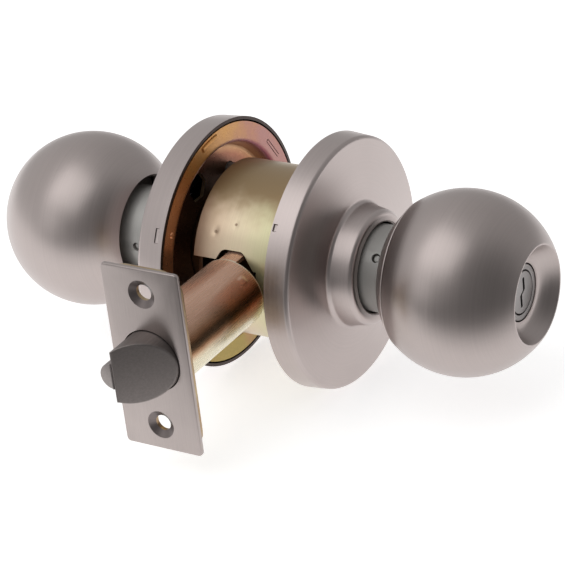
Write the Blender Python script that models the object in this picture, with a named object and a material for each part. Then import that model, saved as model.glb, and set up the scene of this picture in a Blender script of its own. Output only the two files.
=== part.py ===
"""Cylindrical door knob set: two ball knobs, two roses, chassis drum and spring latch, as fitted in a door.

Metres, +Z up. The knobs turn about Y (the keyed outside knob is at -Y), the latch slides along X
(its bolt points to -X), and the origin is where those two axes cross, in the middle of the door.
"""
import math

import bmesh
import bpy
from mathutils import Matrix, Vector

# Fits between pieces
CLEARANCE = 0.0003          # between pieces that touch or slide on each other
SEAM = 0.0003               # between pieces that are screwed or pressed together
CUT_PAST = 0.002            # how far a cutting tool passes what it cuts

# Edge rounds and bends, by their outer radius
FINE_EDGE = 0.0004
SOFT_EDGE = 0.0008
SHEET_BEND = 0.0014
WIDE_BEND = 0.0020

# Necks, spindles and the bearings they turn in
DOOR_THICKNESS = 0.035
NECK_RADIUS = 0.0129
NECK_WALL = 0.0015
NECK_GAP = 0.0006           # round the neck in the rose's hub
NECK_FLANGE_WALL = 0.0016
NECK_FLANGE_OFFSET = 0.0040  # behind the ball's centre
SPINDLE_WALL = 0.0012
SPINDLE_SETBACK = 0.0040    # behind the neck's flange
BEARING_WALL = 0.0031
BEARING_FLANGE_WALL = 0.0016

# Screws and drum, outwards from the bearings
SCREW_RADIUS = 0.0022
SCREW_HEAD_RADIUS = 0.0040
SCREW_HEAD_HEIGHT = 0.0016
SCREW_TO_BEARING = 0.0030   # between a screw's head and the bearing sleeve
SCREW_TO_DRUM = 0.0011      # between a screw's shank and the drum's wall
SCREW_TIP_SETBACK = 0.0005  # inside the boss that holds it
SCREW_ANGLE = 60.0          # degrees, from +X towards +Z, of the upper screw
BOSS_WALL = 0.0011
BOSS_HEIGHT = 0.0040
DRUM_WALL = 0.0012
DRUM_INSET = 0.0035         # the drum's ends lie this far inside the door
DRUM_ROOM = 0.0010          # round the drum in the door's bore

# Mounting plates, outwards from the door's bore
PLATE_WALL = 0.0012
RECESS_LAP = 0.0020         # the recess's floor passes the bore by this
RECESS_SLOPE = 0.0015       # width of the recess's sloping side
PLATE_FLANGE = 0.0060
PLATE_ROOM = 0.0005         # round the plate in its rose
HEAD_ROOM = 0.0006          # from the screw heads to the front of the rose's rim
HEXAGON_ACROSS = 0.0078
HEXAGON_ANGLE = 108.0       # degrees, from +X towards +Z
PLATE_SLIT_LENGTH = 0.0088
PLATE_SLIT_WIDTH = 0.0012
PLATE_SLIT_ANGLE = 34.0

# Roses
ROSE_WALL = 0.001
ROSE_TAPER = 0.0006         # how much smaller the rim is at its front
ROSE_CROWN = 0.0016         # how far the face rises from its rim to the hub
OUTSIDE_RIM_DEPTH = 0.0073
INSIDE_RIM_DEPTH = 0.0087
HUB_HEIGHT = 0.0076         # from the crown to the hub's lip
HUB_TAPER = 0.0014          # how much wider the hub is at its base
HUB_LIP_WIDTH = 0.0033
HUB_LIP_DEPTH = 0.0022
HUB_BEND = 0.0024           # of the hub's shoulder
HUB_FOOT_BEND = 0.0016
LIP_ROOM = 0.0022           # from the bearing sleeve to the lip of the outside rose
RIM_SLOT_WIDTH = 0.0013
RIM_SLOT_LENGTH = 0.0044
INSIDE_SLOT_PLACE = 0.0022  # door face to the slot's middle
OUTSIDE_SLOT_PLACE = 0.0010
INSIDE_SLOT_ANGLE = 152.0   # degrees, from +X towards +Z
OUTSIDE_SLOT_ANGLE = 140.0

# Ball knobs
BALL_RADIUS = 0.027
BALL_WALL = 0.0012
OUTSIDE_STANDOFF = 0.0063   # rose's lip to the ball's back edge
INSIDE_STANDOFF = 0.0117
DISH_RADIUS = 0.0144        # rim of the hollow in the knob's face
DISH_DEPTH = 0.0050
DISH_RIM_BEND = 0.0006
DISH_KNEE = 0.0022          # the dish's side meets its floor this far inside the rim
DISH_KNEE_HEIGHT = 0.0020   # above the cylinder's face
BACK_OPENING_GAP = 0.0037   # round the neck in the ball's back
BACK_RING_WIDTH = 0.0058    # of the flatter ring on the outside ball's back
BACK_RING_FOOT = 0.0018     # width of its edge on the ball
BACK_RING_SINK = 0.0010     # its inner edge lies this far inside the ball's surface

# Catches that hold the knobs
CATCH_RADIUS = 0.0011
CATCH_SINK = 0.0007         # the tip lies this far under the neck's surface
CATCH_HEAD_RADIUS = 0.0021
CATCH_HEAD_HEIGHT = 0.0005
OUTSIDE_CATCH_OFFSET = 0.0209  # door face to catch
INSIDE_CATCH_OFFSET = 0.0260
OUTSIDE_CATCH_ANGLE = 42.0  # degrees from the latch side up towards +Z
INSIDE_CATCH_ANGLE = 1.0

# Key cylinder and turn button
PLUG_RADIUS = 0.0062
CYLINDER_WALL = 0.0017
CYLINDER_LENGTH = 0.0265
CYLINDER_SHOULDER = 0.0016  # width of the shoulder behind the dish
CYLINDER_SHOULDER_LENGTH = 0.0030
KEYWAY_WIDTH = 0.0011
KEYWAY_HEIGHT = 0.0084
KEYWAY_DEPTH = 0.0120
PIN_HOUSING_WIDTH = 0.0088
PIN_HOUSING_HEIGHT = 0.0128
PIN_HOUSING_CORNER = 0.0012
PIN_HOUSING_SETBACK = 0.0010  # behind the shoulder
BAR_WIDTH = 0.0044          # tailpiece and button rod
BAR_THICKNESS = 0.0014
BUTTON_STEM_WALL = 0.0009   # round the rod's width
BUTTON_BUSHING_LENGTH = 0.0050
BUTTON_BASE_HEIGHT = 0.0016
BUTTON_GRIP_HEIGHT = 0.0068
BUTTON_GRIP_LENGTH = 0.0128
BUTTON_GRIP_WIDTH = 0.0034
CAM_TO_SHOULDER = 0.0023    # from the spindle's tabs to the lock cam
CAM_THICKNESS = 0.0030
CAM_ROOM = 0.0013           # round the cam in the spindle
CAM_END_WIDTH = 0.0060
CAM_WAIST = 0.0088
CAM_CORNER = 0.0010

# Latch, outwards from the bolt
BACKSET = 0.070
BOLT_RADIUS = 0.0092
BOLT_THROW = 0.012
BOLT_FLAT = 0.0048          # the bolt's flat back, on the +Y side of the latch axis
BOLT_BODY = 0.0100          # length of the bolt behind the faceplate
BEVEL_START = 0.0006        # the bevel's low edge, in front of the faceplate
TUBE_WALL = 0.0012
TUBE_SETBACK = 0.0020       # between the tube's end and the drum
TONGUE_HALF_WIDTH = 0.0028
BACKING_EDGE = 0.0012       # of the backing plate beside the tube
BACKING_THICKNESS = 0.0012
BACKING_CORNER = 0.0065
FACEPLATE_LAP = 0.0005      # the faceplate is this much wider on each side
FACEPLATE_THICKNESS = 0.0013
FACEPLATE_CORNER = 0.0013
SCREW_HOLE_SPACING = 0.0413
SCREW_HOLE_EDGE = 0.00785   # from a screw hole's middle to the faceplate's end
SCREW_HOLE_RADIUS = 0.0024
COUNTERSINK_RADIUS = 0.0043
PLUNGER_HALF_HEIGHT = 0.0040
PLUNGER_SETBACK = 0.0004    # behind the bolt's tip
PLUNGER_TRAVEL = 0.0105     # on top of the bolt's throw
PLUNGER_SPRING_ROOM = 0.0030  # left for its spring, squeezed flat
GUIDE_THICKNESS = 0.0037
GUIDE_SLOT_ROOM = 0.0006    # round the tail in the guide
TAIL_WIDTH = 0.0052
TAIL_THICKNESS = 0.0016
TAIL_HEAD_WIDTH = 0.0110
TAIL_HEAD_LENGTH = 0.0024

# Opening in the drum's side: an arch over the tube's tongues, with a lower stretch on each side
ARCH_ROOM = 0.0005          # above the tongues
ARCH_MIDDLE = 0.0010        # middle of the arch's top, towards +Y
ARCH_HALF_WIDTH = 0.0036
ARCH_FOOT = 0.0018          # how far its +Y side leans out
ARCH_SLOPE = 0.0038         # how far its -Y side leans out
ARCH_BEND = 0.0026
SLOT_HALF_HEIGHT = 0.0082   # on the +Y side, out to the drum's open end
LEDGE_HALF_HEIGHT = 0.0064  # on the -Y side
LEDGE_REACH = 0.0010

# Retractor
RETRACTOR_WEB = 0.0078      # thickness of its frame along Y
RETRACTOR_INSET = 0.0045    # from the drum's surface to the jaws
RETRACTOR_JAW = 0.0023
RETRACTOR_ARM = 0.0031      # above and below its window
RETRACTOR_CORNER = 0.0016
WINDOW_ROOM = 0.0004        # round the tail's head and the button rod
BLOCK_WALL = 0.0016         # between the window and the face that the tabs push
BLOCK_DEPTH = 0.0038
BLOCK_HEIGHT = 0.0240
BLOCK_HALF_WIDTH = 0.0080
TAB_ROOM = 0.0004           # between the spindle's tabs and the block
WEB_ROOM = 0.0005           # between the spindle's tabs and the web
TAB_SHOULDER = 0.0015       # the spindle is round again this far past the block

# Springs
BOLT_SPRING_WIRE = 0.00045
BOLT_SPRING_TURNS = 7
PLUNGER_SPRING_RADIUS = 0.0017
PLUNGER_SPRING_WIRE = 0.00030
PLUNGER_SPRING_TURNS = 6
RETRACTOR_SPRING_RADIUS = 0.0026
RETRACTOR_SPRING_WIRE = 0.00035
RETRACTOR_SPRING_TURNS = 5
RETRACTOR_SPRING_HEIGHT = 0.0072

# Smoothness of the curves
BALL_STEPS = 36
ROUND_STEPS = 30
NECK_STEPS = 24
SMALL_STEPS = 20
HOLE_STEPS = 10
BOLT_STEPS = 28
ARC_STEP = math.radians(20)
FILLET_STEP = math.radians(48)
SHARP_ANGLE = math.radians(35)
COIL_STEPS = 6

# Places worked out from the sizes above
DOOR_HALF = DOOR_THICKNESS / 2
DRUM_HALF_LENGTH = DOOR_HALF - DRUM_INSET
SPINDLE_RADIUS = NECK_RADIUS - NECK_WALL - CLEARANCE
SPINDLE_BORE = SPINDLE_RADIUS - SPINDLE_WALL
BEARING_BORE = SPINDLE_RADIUS + CLEARANCE
BEARING_RADIUS = BEARING_BORE + BEARING_WALL
SCREW_CIRCLE = BEARING_RADIUS + SCREW_TO_BEARING + SCREW_HEAD_RADIUS
BOSS_RADIUS = SCREW_RADIUS + CLEARANCE + BOSS_WALL
DRUM_RADIUS = SCREW_CIRCLE + SCREW_RADIUS + SCREW_TO_DRUM + DRUM_WALL
DOOR_BORE_RADIUS = DRUM_RADIUS + DRUM_ROOM
RECESS_FLOOR_RADIUS = DOOR_BORE_RADIUS + RECESS_LAP
RECESS_RADIUS = RECESS_FLOOR_RADIUS + RECESS_SLOPE
RECESS_DEPTH = INSIDE_RIM_DEPTH - HEAD_ROOM - SCREW_HEAD_HEIGHT - SEAM - PLATE_WALL
PLATE_RADIUS = RECESS_RADIUS + PLATE_FLANGE
ROSE_RADIUS = PLATE_RADIUS + PLATE_ROOM + ROSE_WALL
ROSE_FRONT_RADIUS = ROSE_RADIUS - ROSE_TAPER
HUB_BORE_RADIUS = NECK_RADIUS + NECK_GAP
HUB_TOP_RADIUS = HUB_BORE_RADIUS + HUB_LIP_WIDTH
BEARING_REACH = OUTSIDE_RIM_DEPTH + ROSE_CROWN + HUB_HEIGHT - HUB_LIP_DEPTH - LIP_ROOM
CYLINDER_RADIUS = PLUG_RADIUS + CLEARANCE + CYLINDER_WALL
SHOULDER_RADIUS = CYLINDER_RADIUS + CYLINDER_SHOULDER
BALL_BORE = BALL_RADIUS - BALL_WALL
BACK_OPENING_RADIUS = NECK_RADIUS + BACK_OPENING_GAP
BACK_RING_RADIUS = BACK_OPENING_RADIUS + BACK_RING_WIDTH
BACK_OFFSET = math.sqrt(BALL_RADIUS ** 2 - BACK_OPENING_RADIUS ** 2)  # ball's centre to its back edge
OUTSIDE_REACH = OUTSIDE_RIM_DEPTH + ROSE_CROWN + HUB_HEIGHT + OUTSIDE_STANDOFF + BACK_OFFSET
INSIDE_REACH = INSIDE_RIM_DEPTH + ROSE_CROWN + HUB_HEIGHT + INSIDE_STANDOFF + BACK_OFFSET
FACE_OFFSET = math.sqrt(BALL_RADIUS ** 2 - DISH_RADIUS ** 2) - DISH_DEPTH  # ball's centre to the dish's floor
CATCH_HOLE_RADIUS = CATCH_RADIUS + CLEARANCE
TUBE_BORE = BOLT_RADIUS + CLEARANCE
TUBE_RADIUS = TUBE_BORE + TUBE_WALL
TUBE_START = -BACKSET + FACEPLATE_THICKNESS + SEAM
TUBE_END = -DRUM_RADIUS - TUBE_SETBACK
BACKING_WIDTH = 2 * (TUBE_RADIUS + SEAM + BACKING_EDGE)
FACEPLATE_WIDTH = BACKING_WIDTH + 2 * FACEPLATE_LAP
FACEPLATE_HEIGHT = SCREW_HOLE_SPACING + 2 * SCREW_HOLE_EDGE
BACKING_HEIGHT = FACEPLATE_HEIGHT - 2 * FACEPLATE_LAP
GUIDE_END = TUBE_END - SEAM
GUIDE_START = GUIDE_END - GUIDE_THICKNESS
PLUNGER_FLAT = BOLT_FLAT + CLEARANCE
PLUNGER_REAR = GUIDE_START - BOLT_THROW - PLUNGER_TRAVEL - PLUNGER_SPRING_ROOM
BOLT_TIP = -BACKSET - BOLT_THROW
BOLT_REAR = -BACKSET + BOLT_BODY
ARCH_TOP = TUBE_RADIUS + ARCH_ROOM
RETRACTOR_FRONT = DRUM_RADIUS - RETRACTOR_INSET
TONGUE_END = -RETRACTOR_FRONT - WINDOW_ROOM
WINDOW_REAR = BAR_WIDTH / 2 + WINDOW_ROOM
BLOCK_FRONT = WINDOW_REAR + BLOCK_WALL
BLOCK_REAR = BLOCK_FRONT + BLOCK_DEPTH
WINDOW_HEIGHT = TAIL_HEAD_WIDTH + 2 * WINDOW_ROOM
RETRACTOR_HEIGHT = WINDOW_HEIGHT + 2 * RETRACTOR_ARM
TAB_HALF_WIDTH = BLOCK_FRONT - TAB_ROOM
TAB_REACH = RETRACTOR_WEB / 2 + WEB_ROOM
TAB_END = BLOCK_HALF_WIDTH + TAB_SHOULDER
CAM_INNER = TAB_END + CAM_TO_SHOULDER
CAM_OUTER = CAM_INNER + CAM_THICKNESS

STEEL = ("satin_stainless", (0.46, 0.42, 0.41), 0.34, 1.0)
ZINC = ("yellow_zinc", (0.78, 0.66, 0.42), 0.38, 0.9)
BRONZED = ("bronzed_zinc", (0.42, 0.26, 0.18), 0.36, 0.9)
DARK_STEEL = ("dark_sintered_steel", (0.22, 0.20, 0.20), 0.45, 1.0)
PALE_STEEL = ("pale_plated_steel", (0.66, 0.66, 0.65), 0.30, 1.0)
BRASS = ("turned_brass", (0.72, 0.56, 0.30), 0.30, 1.0)


def clear_scene():
    """Remove every object of the scene that the script starts in."""
    for thing in list(bpy.data.objects):
        bpy.data.objects.remove(thing, do_unlink=True)


def finish_material(finish):
    """Principled material of a finish, made once and shared."""
    name, colour, roughness, metallic = finish
    material = bpy.data.materials.get(name)
    if material is None:
        material = bpy.data.materials.new(name)
        material.use_nodes = True
        shader = material.node_tree.nodes["Principled BSDF"]
        shader.inputs["Base Color"].default_value = (*colour, 1.0)
        shader.inputs["Roughness"].default_value = roughness
        shader.inputs["Metallic"].default_value = metallic
    return material


def body_empty(name, turn=0.0):
    """Empty that carries the pieces of one body, turned about Z."""
    empty = bpy.data.objects.new(name, None)
    empty.rotation_euler = (0, 0, turn)
    bpy.context.collection.objects.link(empty)
    return empty


def add_object(name, bm, finish, parent=None):
    """Turn a bmesh into a named object with outward faces and smooth round sides."""
    bmesh.ops.remove_doubles(bm, verts=bm.verts, dist=1e-6)
    bmesh.ops.recalc_face_normals(bm, faces=bm.faces)
    mesh = bpy.data.meshes.new(name)
    bm.to_mesh(mesh)
    bm.free()
    mesh.shade_smooth()
    mesh.set_sharp_from_angle(angle=SHARP_ANGLE)
    mesh.materials.append(finish_material(finish))
    thing = bpy.data.objects.new(name, mesh)
    bpy.context.collection.objects.link(thing)
    thing.parent = parent
    return thing


def rounded(path, closed=False, step=FILLET_STEP):
    """Points of a path whose corners (a, b, radius) become arcs.

    A fillet takes radius * tan(turn / 2) of each side of its corner; two that share a side
    shrink together until they fit it.
    """
    count = len(path)
    points = [Vector((a, b)) for a, b, _ in path]
    cuts = [0.0] * count
    turns = [0.0] * count
    for i, (_, _, radius) in enumerate(path):
        if radius <= 0 or (not closed and i in (0, count - 1)):
            continue
        before = (points[i] - points[i - 1]).normalized()
        after = (points[(i + 1) % count] - points[i]).normalized()
        turns[i] = math.atan2(before.cross(after), before.dot(after))
        cuts[i] = radius * math.tan(abs(turns[i]) / 2)
    shares = [1.0] * count
    for i in range(count if closed else count - 1):
        j = (i + 1) % count
        side = (points[j] - points[i]).length
        if cuts[i] + cuts[j] > 0.98 * side:
            share = 0.98 * side / (cuts[i] + cuts[j])
            shares[i] = min(shares[i], share)
            shares[j] = min(shares[j], share)
    result = []
    for i, point in enumerate(points):
        cut = cuts[i] * shares[i]
        if cut < 1e-6 or abs(turns[i]) < 1e-3:
            result.append((point.x, point.y))
            continue
        before = (point - points[i - 1]).normalized()
        side = math.copysign(1.0, turns[i])
        radius = cut / math.tan(abs(turns[i]) / 2)
        centre = point - before * cut + Vector((-before.y, before.x)) * radius * side
        spoke = (point - before * cut) - centre
        steps = math.ceil(abs(turns[i]) / step)
        for k in range(steps + 1):
            turned = Matrix.Rotation(turns[i] * k / steps, 2) @ spoke
            result.append((centre.x + turned.x, centre.y + turned.y))
    return result


def offset_path(path, wall):
    """The same corners moved by wall to the left of the path, with fillets that keep the wall even."""
    points = [Vector((a, b)) for a, b, _ in path]
    sides = [(points[i + 1] - points[i]).normalized() for i in range(len(points) - 1)]
    normals = [Vector((-side.y, side.x)) for side in sides]
    result = []
    for i, (point, (_, _, radius)) in enumerate(zip(points, path)):
        first = normals[max(i - 1, 0)]
        second = normals[min(i, len(normals) - 1)]
        moved = point + (first + second) * (wall / (1 + first.dot(second)))
        turn = first.cross(second) * math.copysign(1.0, wall)
        inner = radius - abs(wall) if turn > 0 else radius + abs(wall)
        result.append((moved.x, moved.y, max(inner, 0.0) if radius > 0 else 0.0))
    return result


def sheet(path, wall):
    """Closed section of sheet metal: the path, and the same path offset by the wall, with plainer bends."""
    return rounded(path) + rounded(offset_path(path, wall), step=math.pi)[::-1]


def arc(radius, start, end, centre=0.0):
    """Corners along an arc about (0, centre) in the (radius, axis) plane; angles from the axis."""
    steps = max(2, math.ceil(abs(end - start) / ARC_STEP))
    angles = [start + (end - start) * k / steps for k in range(steps + 1)]
    return [(radius * math.sin(a), centre + radius * math.cos(a), 0.0) for a in angles]


def spin(name, section, finish, parent=None, axis="Y", steps=ROUND_STEPS, centre=(0, 0)):
    """Turn a section of (radius, along) points about an axis.

    A section whose ends lie on the axis is a solid; any other is closed into a ring. centre moves
    the axis sideways: (x, z) for axis Y and (y, z) for axis X.
    """
    solid = section[0][0] == 0 and section[-1][0] == 0
    bm = bmesh.new()
    if axis == "Y":
        corners = [(centre[0] + r, along, centre[1]) for r, along in section]
        direction, middle = (0, 1, 0), (centre[0], 0, centre[1])
    else:
        corners = [(along, centre[0] + r, centre[1]) for r, along in section]
        direction, middle = (1, 0, 0), (0, centre[0], centre[1])
    verts = [bm.verts.new(corner) for corner in corners]
    edges = [bm.edges.new(pair) for pair in zip(verts, verts[1:])]
    if not solid:
        edges.append(bm.edges.new((verts[-1], verts[0])))
    bmesh.ops.spin(bm, geom=verts + edges, cent=middle, axis=direction, angle=2 * math.pi,
                   steps=steps, use_merge=True)
    return add_object(name, bm, finish, parent)


def prism(name, outline, axis, low, high, finish, parent=None):
    """Extrude a closed outline along an axis; its points are (y, z), (x, z) or (x, y)."""
    places = {"X": lambda a, b: (low, a, b), "Y": lambda a, b: (a, low, b), "Z": lambda a, b: (a, b, low)}
    ways = {"X": (high - low, 0, 0), "Y": (0, high - low, 0), "Z": (0, 0, high - low)}
    bm = bmesh.new()
    face = bm.faces.new([bm.verts.new(places[axis](a, b)) for a, b in outline])
    grown = bmesh.ops.extrude_face_region(bm, geom=[face])
    moved = [item for item in grown["geom"] if isinstance(item, bmesh.types.BMVert)]
    bmesh.ops.translate(bm, vec=ways[axis], verts=moved)
    bmesh.ops.recalc_face_normals(bm, faces=bm.faces)
    return add_object(name, bm, finish, parent)


def rectangle(width, height, corner=0.0, centre=(0, 0)):
    """Outline of a rectangle with round corners."""
    a, b = width / 2, height / 2
    corners = [(-a, -b), (a, -b), (a, b), (-a, b)]
    path = [(centre[0] + x, centre[1] + y, corner) for x, y in corners]
    return rounded(path, closed=True)


def circle(radius, centre=(0, 0), steps=SMALL_STEPS, start=0.0):
    """Outline of a circle or regular polygon."""
    angles = [start + 2 * math.pi * k / steps for k in range(steps)]
    return [(centre[0] + radius * math.cos(a), centre[1] + radius * math.sin(a)) for a in angles]


def on_circle(radius, degrees):
    """Point on a circle, from the first axis towards the second."""
    angle = math.radians(degrees)
    return radius * math.cos(angle), radius * math.sin(angle)


def apply_tool(target, tool, operation):
    """Boolean of a hidden tool on an object."""
    tool.hide_render = True
    tool.display_type = "WIRE"
    boolean = target.modifiers.new(tool.name, "BOOLEAN")
    boolean.operation = operation
    boolean.solver = "EXACT"
    boolean.object = tool


def cut(target, tool):
    """Take the tool's shape out of the target."""
    apply_tool(target, tool, "DIFFERENCE")


def join(target, tool):
    """Weld the tool's shape to the target."""
    apply_tool(target, tool, "UNION")


def coil(name, start, end, radius, wire, turns, centre, finish, parent=None):
    """Compression spring along X: a helix with a closed turn at each end."""
    closed = 1.0
    total = turns + 2 * closed
    count = int(total * COIL_STEPS)
    free = end - start - 2 * wire * (1 + 2 * closed) * 1.15
    curve = bpy.data.curves.new(name, "CURVE")
    curve.dimensions = "3D"
    curve.bevel_depth = wire
    curve.bevel_resolution = 0
    curve.use_fill_caps = True
    spline = curve.splines.new("POLY")
    spline.points.add(count)
    pitch = wire * 2 * 1.15
    for k in range(count + 1):
        turn = total * k / count
        angle = 2 * math.pi * turn
        along = start + wire + pitch * min(turn, closed) + pitch * max(0.0, turn - closed - turns)
        along += free * min(max(turn - closed, 0.0), turns) / turns
        y, z = centre[0] + radius * math.cos(angle), centre[1] + radius * math.sin(angle)
        spline.points[k].co = (along, y, z, 1)
    spring = bpy.data.objects.new(name, curve)
    bpy.context.collection.objects.link(spring)
    curve.materials.append(finish_material(finish))
    spring.parent = parent
    return spring


def rose(name, rim_depth, parent):
    """Stamped cover: rim on the door, crowned face and a raised hub whose lip turns in round the neck."""
    crown = rim_depth + ROSE_CROWN
    top = crown + HUB_HEIGHT
    path = [
        (ROSE_RADIUS, DOOR_HALF, 0),
        (ROSE_FRONT_RADIUS, DOOR_HALF + rim_depth, SHEET_BEND),
        (HUB_TOP_RADIUS + HUB_TAPER, DOOR_HALF + crown, HUB_FOOT_BEND),
        (HUB_TOP_RADIUS, DOOR_HALF + top, HUB_BEND),
        (HUB_BORE_RADIUS, DOOR_HALF + top, SOFT_EDGE),
        (HUB_BORE_RADIUS, DOOR_HALF + top - HUB_LIP_DEPTH, 0),
    ]
    return spin(name, sheet(path, ROSE_WALL), STEEL, parent)


def rim_slot(target, name, angle, from_door, length, parent):
    """Spanner slot through a rose's rim at an angle (degrees, from +X towards +Z)."""
    outline = rectangle(2 * (ROSE_TAPER + ROSE_WALL + CUT_PAST), length)
    tool = prism(name, outline, "Y", -RIM_SLOT_WIDTH / 2, RIM_SLOT_WIDTH / 2, DARK_STEEL, parent)
    x, z = on_circle(ROSE_FRONT_RADIUS, angle)
    tool.location = (x, DOOR_HALF + from_door, z)
    tool.rotation_euler = (0, -math.radians(angle), 0)
    cut(target, tool)


def knob_shell(name, reach, back_radius, parent):
    """Hollow ball, open behind, whose face turns in to a dish round the cylinder or button."""
    back_angle = math.pi - math.asin(back_radius / BALL_RADIUS)
    rim_angle = math.asin(DISH_RADIUS / BALL_RADIUS)
    outer = arc(BALL_RADIUS, back_angle, rim_angle)
    path = outer[:-1] + [
        (DISH_RADIUS, FACE_OFFSET + DISH_DEPTH, DISH_RIM_BEND),
        (DISH_RADIUS - DISH_KNEE, FACE_OFFSET + DISH_KNEE_HEIGHT, 0),
        (CYLINDER_RADIUS + CLEARANCE, FACE_OFFSET, 0),
    ]
    shell = spin(name, sheet(path, BALL_WALL), STEEL, parent, steps=BALL_STEPS)
    shell.location = (0, DOOR_HALF + reach, 0)
    return shell


def back_ring(name, reach, parent):
    """Flatter ring crimped on the back edge of the outside ball, with a lip turned in round the neck."""
    seat = -math.sqrt(BALL_RADIUS ** 2 - BACK_RING_RADIUS ** 2) - SEAM
    back = BACK_RING_SINK - BACK_OFFSET
    lip = BACK_OPENING_RADIUS + BALL_WALL
    section = rounded([
        (BACK_RING_RADIUS, seat, 0), (BACK_RING_RADIUS - BACK_RING_FOOT, seat, 0),
        (lip, back + BALL_WALL, 0), (lip, back + 2 * BALL_WALL, 0),
        (BACK_OPENING_RADIUS, back + 2 * BALL_WALL, 0), (BACK_OPENING_RADIUS, back, FINE_EDGE),
    ], closed=True)
    ring = spin(name, section, STEEL, parent, steps=BALL_STEPS)
    ring.location = (0, DOOR_HALF + reach, 0)
    return ring


def neck(name, reach, parent):
    """Sleeve from inside the rose's hub into the ball, with the flange that the ball is pressed on."""
    start = DOOR_HALF + BEARING_REACH + 2 * CLEARANCE
    flange = DOOR_HALF + reach - NECK_FLANGE_OFFSET
    seat = NECK_FLANGE_OFFSET + NECK_FLANGE_WALL
    flange_radius = math.sqrt(BALL_BORE ** 2 - seat ** 2) - CLEARANCE
    bore = NECK_RADIUS - NECK_WALL
    section = rounded([
        (bore, start, 0), (NECK_RADIUS, start, FINE_EDGE),
        (NECK_RADIUS, flange - NECK_FLANGE_WALL, SOFT_EDGE), (flange_radius, flange - NECK_FLANGE_WALL, 0),
        (flange_radius, flange, 0), (bore, flange, 0),
    ], closed=True)
    return spin(name, section, PALE_STEEL, parent, steps=NECK_STEPS)


def catch_hole(target, name, along, angle, parent):
    """Radial hole for the knob catch at an angle (degrees, from +X towards +Z)."""
    outline = circle(CATCH_HOLE_RADIUS, steps=HOLE_STEPS)
    tool = prism(name, outline, "X", SPINDLE_BORE / 2, NECK_RADIUS + CUT_PAST, DARK_STEEL, parent)
    tool.location = (0, along, 0)
    tool.rotation_euler = (0, -math.radians(angle), 0)
    cut(target, tool)


def knob_catch(name, along, angle, parent):
    """Pin with a flat head inside the spindle; its tip fills the hole in the neck."""
    tip = NECK_RADIUS - CATCH_SINK
    head = SPINDLE_BORE - 2 * CLEARANCE
    back = head - CATCH_HEAD_HEIGHT
    section = rounded([
        (0, back, 0), (CATCH_HEAD_RADIUS, back, 0), (CATCH_HEAD_RADIUS, head, 0),
        (CATCH_RADIUS, head, 0), (CATCH_RADIUS, tip, FINE_EDGE), (0, tip, 0),
    ])
    pin = spin(name, section, PALE_STEEL, parent, axis="X", steps=HOLE_STEPS)
    pin.location = (0, along, 0)
    pin.rotation_euler = (0, -math.radians(angle), 0)
    return pin


def spindle(name, reach, tab_reach, parent):
    """Tube that carries the knob and ends in two tabs, which push the retractor."""
    end = DOOR_HALF + reach - NECK_FLANGE_OFFSET - NECK_FLANGE_WALL - SPINDLE_SETBACK
    section = [
        (SPINDLE_BORE, tab_reach), (SPINDLE_RADIUS, tab_reach), (SPINDLE_RADIUS, end), (SPINDLE_BORE, end),
    ]
    tube = spin(name, section, ZINC, parent, steps=NECK_STEPS)
    depth = SPINDLE_RADIUS - TAB_HALF_WIDTH
    for side in (-1, 1):
        middle = side * (TAB_HALF_WIDTH + depth)
        outline = rectangle(2 * depth, 3 * SPINDLE_RADIUS, centre=(middle, 0))
        low = tab_reach - CUT_PAST
        cut(tube, prism(f"{name}_tab_tool_{side}", outline, "Y", low, TAB_END, ZINC, parent))
    return tube


def knob_side(side, reach, tab_reach, catch_offset, catch_angle, knob):
    """Neck, spindle and catch of one knob, in the side's frame (outwards is +Y)."""
    catch_along = DOOR_HALF + catch_offset
    sleeve = neck(f"{side}_neck", reach, knob)
    catch_hole(sleeve, f"{side}_neck_hole_tool", catch_along, catch_angle, knob)
    tube = spindle(f"{side}_spindle", reach, tab_reach, knob)
    catch_hole(tube, f"{side}_spindle_hole_tool", catch_along, catch_angle, knob)
    knob_catch(f"{side}_knob_catch", catch_along, catch_angle, knob)


def keyway_outline():
    """Zig-zag slot in the key plug, as a closed outline in (x, z)."""
    half, jog = KEYWAY_WIDTH / 2, KEYWAY_WIDTH * 0.9
    top, bottom, step = KEYWAY_HEIGHT / 2, -KEYWAY_HEIGHT / 2, KEYWAY_WIDTH * 0.5
    return [
        (-half - jog, top), (half - jog, top), (half - jog, step), (half + jog, step - jog),
        (half + jog, bottom), (-half + jog, bottom), (-half + jog, -step), (-half - jog, jog - step),
    ]


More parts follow.
